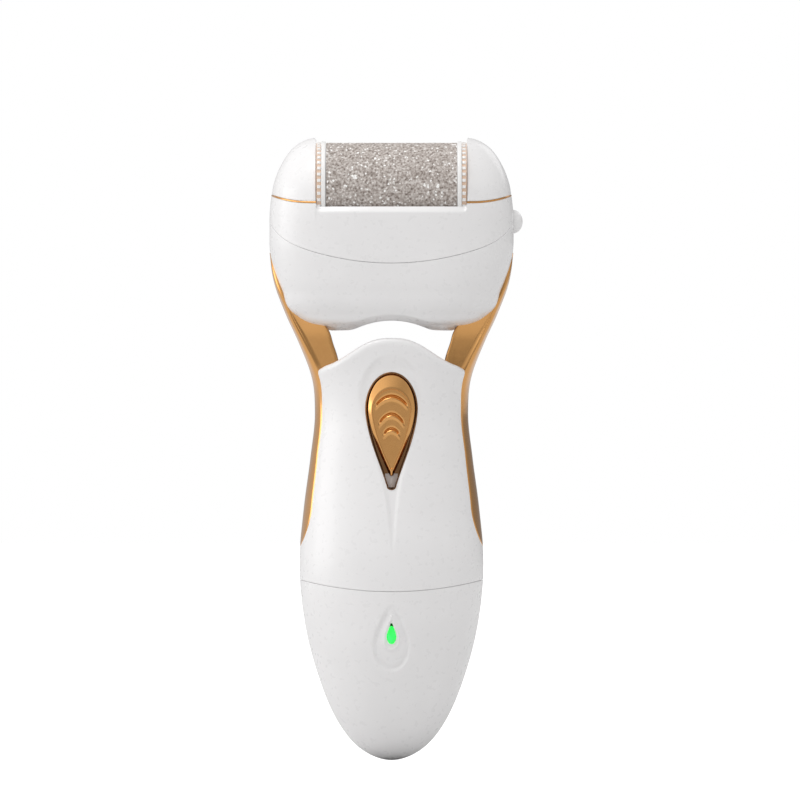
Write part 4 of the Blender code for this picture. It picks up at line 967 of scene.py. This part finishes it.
def end_cap():
    """The bottom cap, with finer rows round the charge light."""
    c, side = all_round(columns(64, 30))
    high = solve_height(cap_seam, c, side, 41, 46)
    fine = 22
    rows = [on_form(c, side, fine * t + 0 * c) for t in np.linspace(0, 1, 46)[:-1] ** 1.7]
    rows += [on_form(c, side, fine + (high - SEAM_SOFT - fine) * t) for t in np.linspace(0, 1, 110)]
    front = side < 0
    for row in rows:
        row[front, 1] += cap_relief(row[front, 0], row[front, 2])
    rows += lip(on_form(c, side, high), inward_of(c, side, high))
    socket_room = drill("socket_room", "Y", (0, 0, SOCKET_Z), 4.0, 5, 30, 64)
    skin("cap", rows, "end_cap", [drop_cutter(lens_hole(), -25, -12), socket_room])


def lens_hole():
    """The light's hole in the cap: a drop with its tip upwards."""
    low, high = 29.4, 34.3
    outline = drop_outline(high, 32.6, low, 1.1, grow=0.1, blunt=0.25)
    outline[:, 1] = high + low - outline[:, 1]
    return outline[::-1]


def lens():
    """The light's window, domed and rounder than its hole, whose tip stays dark above it."""
    turn = np.linspace(0, 2 * math.pi, 64, endpoint=False)
    up = np.sin(turn)
    x = np.sign(np.cos(turn)) * np.abs(np.cos(turn)) ** 0.75
    x *= 1 - 0.22 * np.maximum(up, 0) ** 2
    z = 31.0 + np.where(up > 0, 2.75 * up, -1.75 * np.abs(up) ** 0.8)
    rows = []
    section = (
        (-1.2, 0.0), (-0.1, 0.0), (0.0, 0.03), (0.07, 0.1),
        (0.13, 0.25), (0.17, 0.5), (0.19, 0.8), (0.19, 1.0),
    )
    for proud, share in section:
        here_x, here_z = x * (1 - share), z + (31.2 - z) * share
        rows.append(np.stack((here_x, face_y(here_x, here_z) + 0.05 - proud, here_z), axis=-1))
    loft("lens", rows, LENS, "housing", ("indicator_lens",), smooth_angle=70)


# ---- roller
def sleeve():
    """The grit sleeve: thousands of grains of random height on a drum."""
    around, along = ((1000, 440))
    rng = np.random.default_rng(7)

    def layer(cells_a, cells_b, power):
        """Random heights on a coarse grid, blended over the fine one."""
        coarse = rng.random((cells_a, cells_b)) ** power
        u = np.arange(along) * cells_a / along
        v = np.arange(around) * cells_b / around
        i, j = u.astype(int) % cells_a, v.astype(int) % cells_b
        fu, fv = (u - u.astype(int))[:, None], (v - v.astype(int))[None, :]
        i2, j2 = np.minimum(i + 1, cells_a - 1), (j + 1) % cells_b
        a = coarse[np.ix_(i, j)] * (1 - fu) * (1 - fv) + coarse[np.ix_(i2, j)] * fu * (1 - fv)
        return a + coarse[np.ix_(i, j2)] * (1 - fu) * fv + coarse[np.ix_(i2, j2)] * fu * fv

    height = 0.10 * layer(92, 212, 2.0) + 0.055 * layer(190, 440, 1.5) + 0.02 * rng.random((along, around))
    radius = np.minimum(11.83 + height, ROLLER_R - 0.01)
    turn = 2 * math.pi * np.arange(around) / around
    x = np.linspace(-SLEEVE_HALF, SLEEVE_HALF, along)[:, None] + 0 * turn
    body = np.stack((x, radius * np.cos(turn), radius * np.sin(turn)), axis=-1)
    first, last = (body[k] * (1, 0, 0) + wheel_row(turn, 0, 11.2) for k in (0, -1))
    rows = np.concatenate((first[None], body, last[None])) + ROLLER_AT
    loft("sleeve", rows, GRIT, "roller", ("abrasive_sleeve",), smooth_angle=75, solid=False)


def wheel_row(turn, x, radius):
    """A ring of points about the X axis."""
    return np.stack((0 * turn + x, radius * np.cos(turn), radius * np.sin(turn)), axis=-1)


def disc(name, profile, side_x, segments, material, stands_for=()):
    """A turned piece of the roller."""
    points, faces = lathe(profile, "X", (0, 0, 0), segments)
    points[:, 0] *= side_x
    make(name, points + ROLLER_AT, faces, material, "roller", stands_for, smooth_angle=50)


def flange(side_x, name):
    """The white disc at an end of the sleeve, with a rounded rim."""
    low, high = 16.5, 17.6
    profile = [(low, 2.2), (low, 11.9)] + arc((low + 0.25, 12.08), 0.25, 180, 90, 5)[1:]
    profile += arc((high - 0.25, 12.08), 0.25, 90, 0, 5) + [(high, 11.9), (high, 2.2), (low, 2.2)]
    disc(name, profile, side_x, 220, FLANGE_WHITE, (f"{name}_flange",))


def toothed_ring(side_x, name):
    """A ring of fine rounded teeth, over a tan hub that shows between them."""
    teeth, per = 46, 20
    turn = 2 * math.pi * np.arange(teeth * per) / (teeth * per)
    wave = (np.arange(teeth * per) % per) / per
    tooth = np.clip((0.30 - np.abs(wave - 0.5)) / 0.08, 0, 1)
    tooth = tooth * tooth * (3 - 2 * tooth)
    section = (
        (17.7, 8.0), (17.7, 0.15), (17.74, 0.04), (17.8, 0.0),
        (18.5, 0.0), (18.56, 0.04), (18.6, 0.15), (18.6, 8.0),
    )
    rows = []
    for x, shrink in section:
        radius = np.maximum(3.5, 11.42 + 0.72 * tooth - shrink)
        rows.append(wheel_row(turn, x * side_x, radius) + ROLLER_AT)
    loft(name, rows, FLANGE_WHITE, "roller", (f"{name}_toothed_ring",), smooth_angle=50)
    profile = [(17.64, 4.0), (17.64, 11.86), (18.8, 11.86), (18.8, 4.0)]
    disc(f"{name}_ring_hub", profile, side_x, 200, TAN)


# ---- button, screws, spring
def button():
    """The release button, with its domed cap and the collar that keeps it in."""
    radius, dome, skirt = 2.95, 2.38, 30.5
    profile = [(25.6, 0), (25.6, 1.4), (28.0, 1.4), (28.0, 3.6), (28.6, 3.6)]
    profile += [(28.6, radius), (skirt, radius)]
    for t in np.radians(np.linspace(0, 90, 30))[1:]:
        profile.append((skirt + dome * math.sin(t), radius * math.cos(t)))
    points, faces = lathe(profile, "X", (0, 0, BUTTON_Z), 96)
    make("button", points, faces, WHITE, "release_button", ("release_button",), smooth_angle=50)


def screw(name, x, z):
    """A pan-headed screw along Y, its head to the rear with a cross recess, and a threaded shank."""
    radius, shank_radius = 1.8, 1.0
    head_top, end = 9.7, -4.7
    head_foot, dome = head_top - 1.3, head_top - 0.5
    profile = [(end, 0), (end + shank_radius, shank_radius * 0.8)]
    length = head_foot - end - shank_radius
    turns = int(length / 0.55)
    for k in range(turns):
        at = end + shank_radius + length * k / turns
        profile += [(at, shank_radius * 0.82), (at + 0.27, shank_radius)]
    profile += [(head_foot, shank_radius), (head_foot, radius), (dome, radius)]
    for t in np.radians(np.linspace(15, 90, 7)):
        profile.append((dome + 0.5 * math.sin(t), radius * (0.35 + 0.65 * math.cos(t))))
    points, faces = lathe(profile + [(head_top, 0)], "Y", (x, 0, z), 32)
    obj = make(f"{name}_new", points, faces, STEEL, "housing", (name,), smooth_angle=40)
    recess = []
    for wide, tall in ((radius * 0.62, 0.22), (0.22, radius * 0.62)):
        along = (head_top - 0.7, head_top + 0.5)
        recess.append(box_cutter((x - wide, x + wide), along, (z - tall, z + tall)))
    trim(obj, *recess, angle=40)


def spring():
    """The release spring: a coil of round wire whose ends lie flat."""
    turns, around, wire, radius = 4, 14, 0.2, 2.1
    steps = np.linspace(0, turns, turns * 40 + 1)
    ring = 2 * math.pi * np.arange(around) / around
    rows = []
    for step in steps:
        x = 23.9 + 2.1 * np.clip((step - 0.4) / (turns - 0.8), 0, 1) + wire * np.sin(ring)
        out = radius + wire * np.cos(ring)
        angle = 2 * math.pi * step
        y, z = ROLLER_Y + out * math.cos(angle), ROLLER_Z + out * math.sin(angle)
        rows.append(np.stack((x, y, z), axis=-1))
    coil = loft("spring", rows, STEEL, "housing", ("release_spring",), smooth_angle=60, solid=False)
    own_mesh(coil)


def handle_screws():
    """The four screws, and the walls and floors of the wells that they sit in."""
    wells = []
    for number, (x, z) in enumerate(HANDLE_SCREWS):
        screw(f"handle_screw_{number + 1}", x, z)
        segments = 48
        points, faces = lathe(((12.0, 2.0), (8.2, 2.0), (8.2, 1.1)), "Y", (x, 0, z), segments)
        mouth = points[:segments]
        mouth[:, 1] = -face_y(mouth[:, 0], mouth[:, 2]) - 0.1
        wells.append((points, faces))
    make("screw_wells", *joined(*wells), WHITE, "housing", smooth_angle=50, solid=False)


def rear_cutters():
    return [drill(f"well_{i}", "Y", (x, 0, z), 2.0, 6, 24, 40) for i, (x, z) in enumerate(HANDLE_SCREWS)]


# ---- stage
def feed(tree, socket, value):
    if isinstance(value, (int, float)):
        socket.default_value = value
    else:
        tree.links.new(value, socket)


def maths(tree, operation, *values):
    node = tree.nodes.new("ShaderNodeMath")
    node.operation = operation
    for socket, value in zip(node.inputs, values):
        feed(tree, socket, value)
    return node.outputs["Value"]


def blend(tree, factor, a, b):
    """a where the factor is 0, b where it is 1."""
    node = tree.nodes.new("ShaderNodeMapRange")
    tree.links.new(factor, node.inputs["Value"])
    feed(tree, node.inputs["To Min"], a)
    feed(tree, node.inputs["To Max"], b)
    return node.outputs["Result"]


def seen_by_camera(tree, plain, seen):
    """A value that differs between what the camera sees directly and what lights the scene."""
    return blend(tree, tree.nodes.new("ShaderNodeLightPath").outputs["Is Camera Ray"], plain, seen)


def room_light(tree):
    """A pale room, a little brighter on the left; in what metal mirrors it is darker to the front."""
    direction = tree.nodes.new("ShaderNodeSeparateXYZ")
    tree.links.new(tree.nodes.new("ShaderNodeTexCoord").outputs["Generated"], direction.inputs["Vector"])
    soft = maths(tree, "MULTIPLY_ADD", direction.outputs["X"], -0.07, 0.90)
    depth = maths(tree, "MULTIPLY_ADD", direction.outputs["Y"], 0.5, 0.5)
    stops = ((0.0, 0.46), (0.06, 0.50), (0.22, 0.95), (0.5, 1.0), (0.72, 0.55), (1.0, 0.38))
    band = ramp(tree, depth, [(place, (grey, grey, grey)) for place, grey in stops])
    across = maths(tree, "MULTIPLY_ADD", direction.outputs["X"], -1.0, 1.0)
    sides = maths(tree, "MINIMUM", maths(tree, "MAXIMUM", across, 0.62), 1.3)
    mirrored = maths(tree, "MULTIPLY", band, sides)
    path = tree.nodes.new("ShaderNodeLightPath")
    lit = blend(tree, path.outputs["Is Glossy Ray"], soft, mirrored)
    return seen_by_camera(tree, lit, 1.0)


def room():
    world = bpy.data.worlds.new("studio")
    bpy.context.scene.world = world
    world.use_nodes = True
    tree = world.node_tree
    background = tree.nodes["Background"]
    background.inputs["Color"].default_value = (1.0, 1.0, 1.0, 1)
    tree.links.new(room_light(tree), background.inputs["Strength"])


def studio_floor():
    """A plain floor that the camera sees as near white."""
    material = bpy.data.materials.new("floor")
    material.use_nodes = True
    tree = material.node_tree
    principled = tree.nodes["Principled BSDF"]
    principled.inputs["Base Color"].default_value = (0.66, 0.66, 0.66, 1)
    principled.inputs["Roughness"].default_value = 0.9
    principled.inputs["Emission Color"].default_value = (1, 1, 1, 1)
    path = tree.nodes.new("ShaderNodeLightPath")
    glow = blend(tree, path.outputs["Is Glossy Ray"], 0.0, 0.02)
    tree.links.new(seen_by_camera(tree, glow, 0.9), principled.inputs["Emission Strength"])
    mesh = bpy.data.meshes.new("floor")
    mesh.from_pydata([(-9, -9, 0), (9, -9, 0), (9, 9, 0), (-9, 9, 0)], [], [(0, 1, 2, 3)])
    mesh.materials.append(material)
    floor = placed("floor", mesh)


def placed(name, data, place=(0, 0, 0)):
    obj = bpy.data.objects.new(name, data)
    obj.location = place
    bpy.context.scene.collection.objects.link(obj)
    return obj


def lamps():
    target = Vector((0, 0, 0.085))
    for name, place, size, power in (
        ("top", (-0.35, -0.3, 1.2), 0.5, 3.8),
        ("side", (-1.2, -0.15, 0.25), 0.9, 3.2),
        ("rear", (0.6, 1.0, 0.7), 0.6, 1.0),
    ):
        light = bpy.data.lights.new(name, "AREA")
        light.energy = power
        light.size = size
        lamp = placed(name, light, place)
        lamp.rotation_euler = (target - Vector(place)).to_track_quat("-Z", "Y").to_euler()


def view():
    """The photograph's view: straight at the front, from far off."""
    width_seen, distance = 0.20064, 6.0
    camera = bpy.data.cameras.new("camera")
    camera.sensor_width = 36
    camera.lens = camera.sensor_width * distance / width_seen
    eye = placed("camera", camera, (0.0009818, -distance, 0.090288))
    eye.rotation_euler = (math.pi / 2, 0, 0)
    bpy.context.scene.camera = eye
    bpy.context.scene.view_settings.view_transform = "Standard"


SIDES = ((-1, "left"), (1, "right"))

dress_cad_nodes()
bowl()
collar()
trough()
for sign, side_name in SIDES:
    lobe(sign, f"{side_name}_lobe")
for sign, side_name in SIDES:
    trim_line(sign, f"{side_name}_trim_strip")
slider_room = drop_cutter(drop_outline(*RECESS, grow=0.12), -25, -11.8)
handle_half(-1, "front", [strip_cutter(-1), strip_cutter(1), slider_room])
handle_half(1, "rear", [strip_cutter(-1), strip_cutter(1)] + rear_cutters())
for sign, side_name in SIDES:
    arm(sign, f"{side_name}_arm")
for sign, side_name in SIDES:
    hood_end(sign, f"{side_name}_hood_end")
end_cap()
lens()
bezel()
bezel_tip()
slider()
sleeve()
for sign, side_name in SIDES:
    flange(sign, f"{side_name}_roller")
for sign, side_name in SIDES:
    toothed_ring(sign, side_name)
button()
handle_screws()
spring()
room()
studio_floor()
lamps()
view()
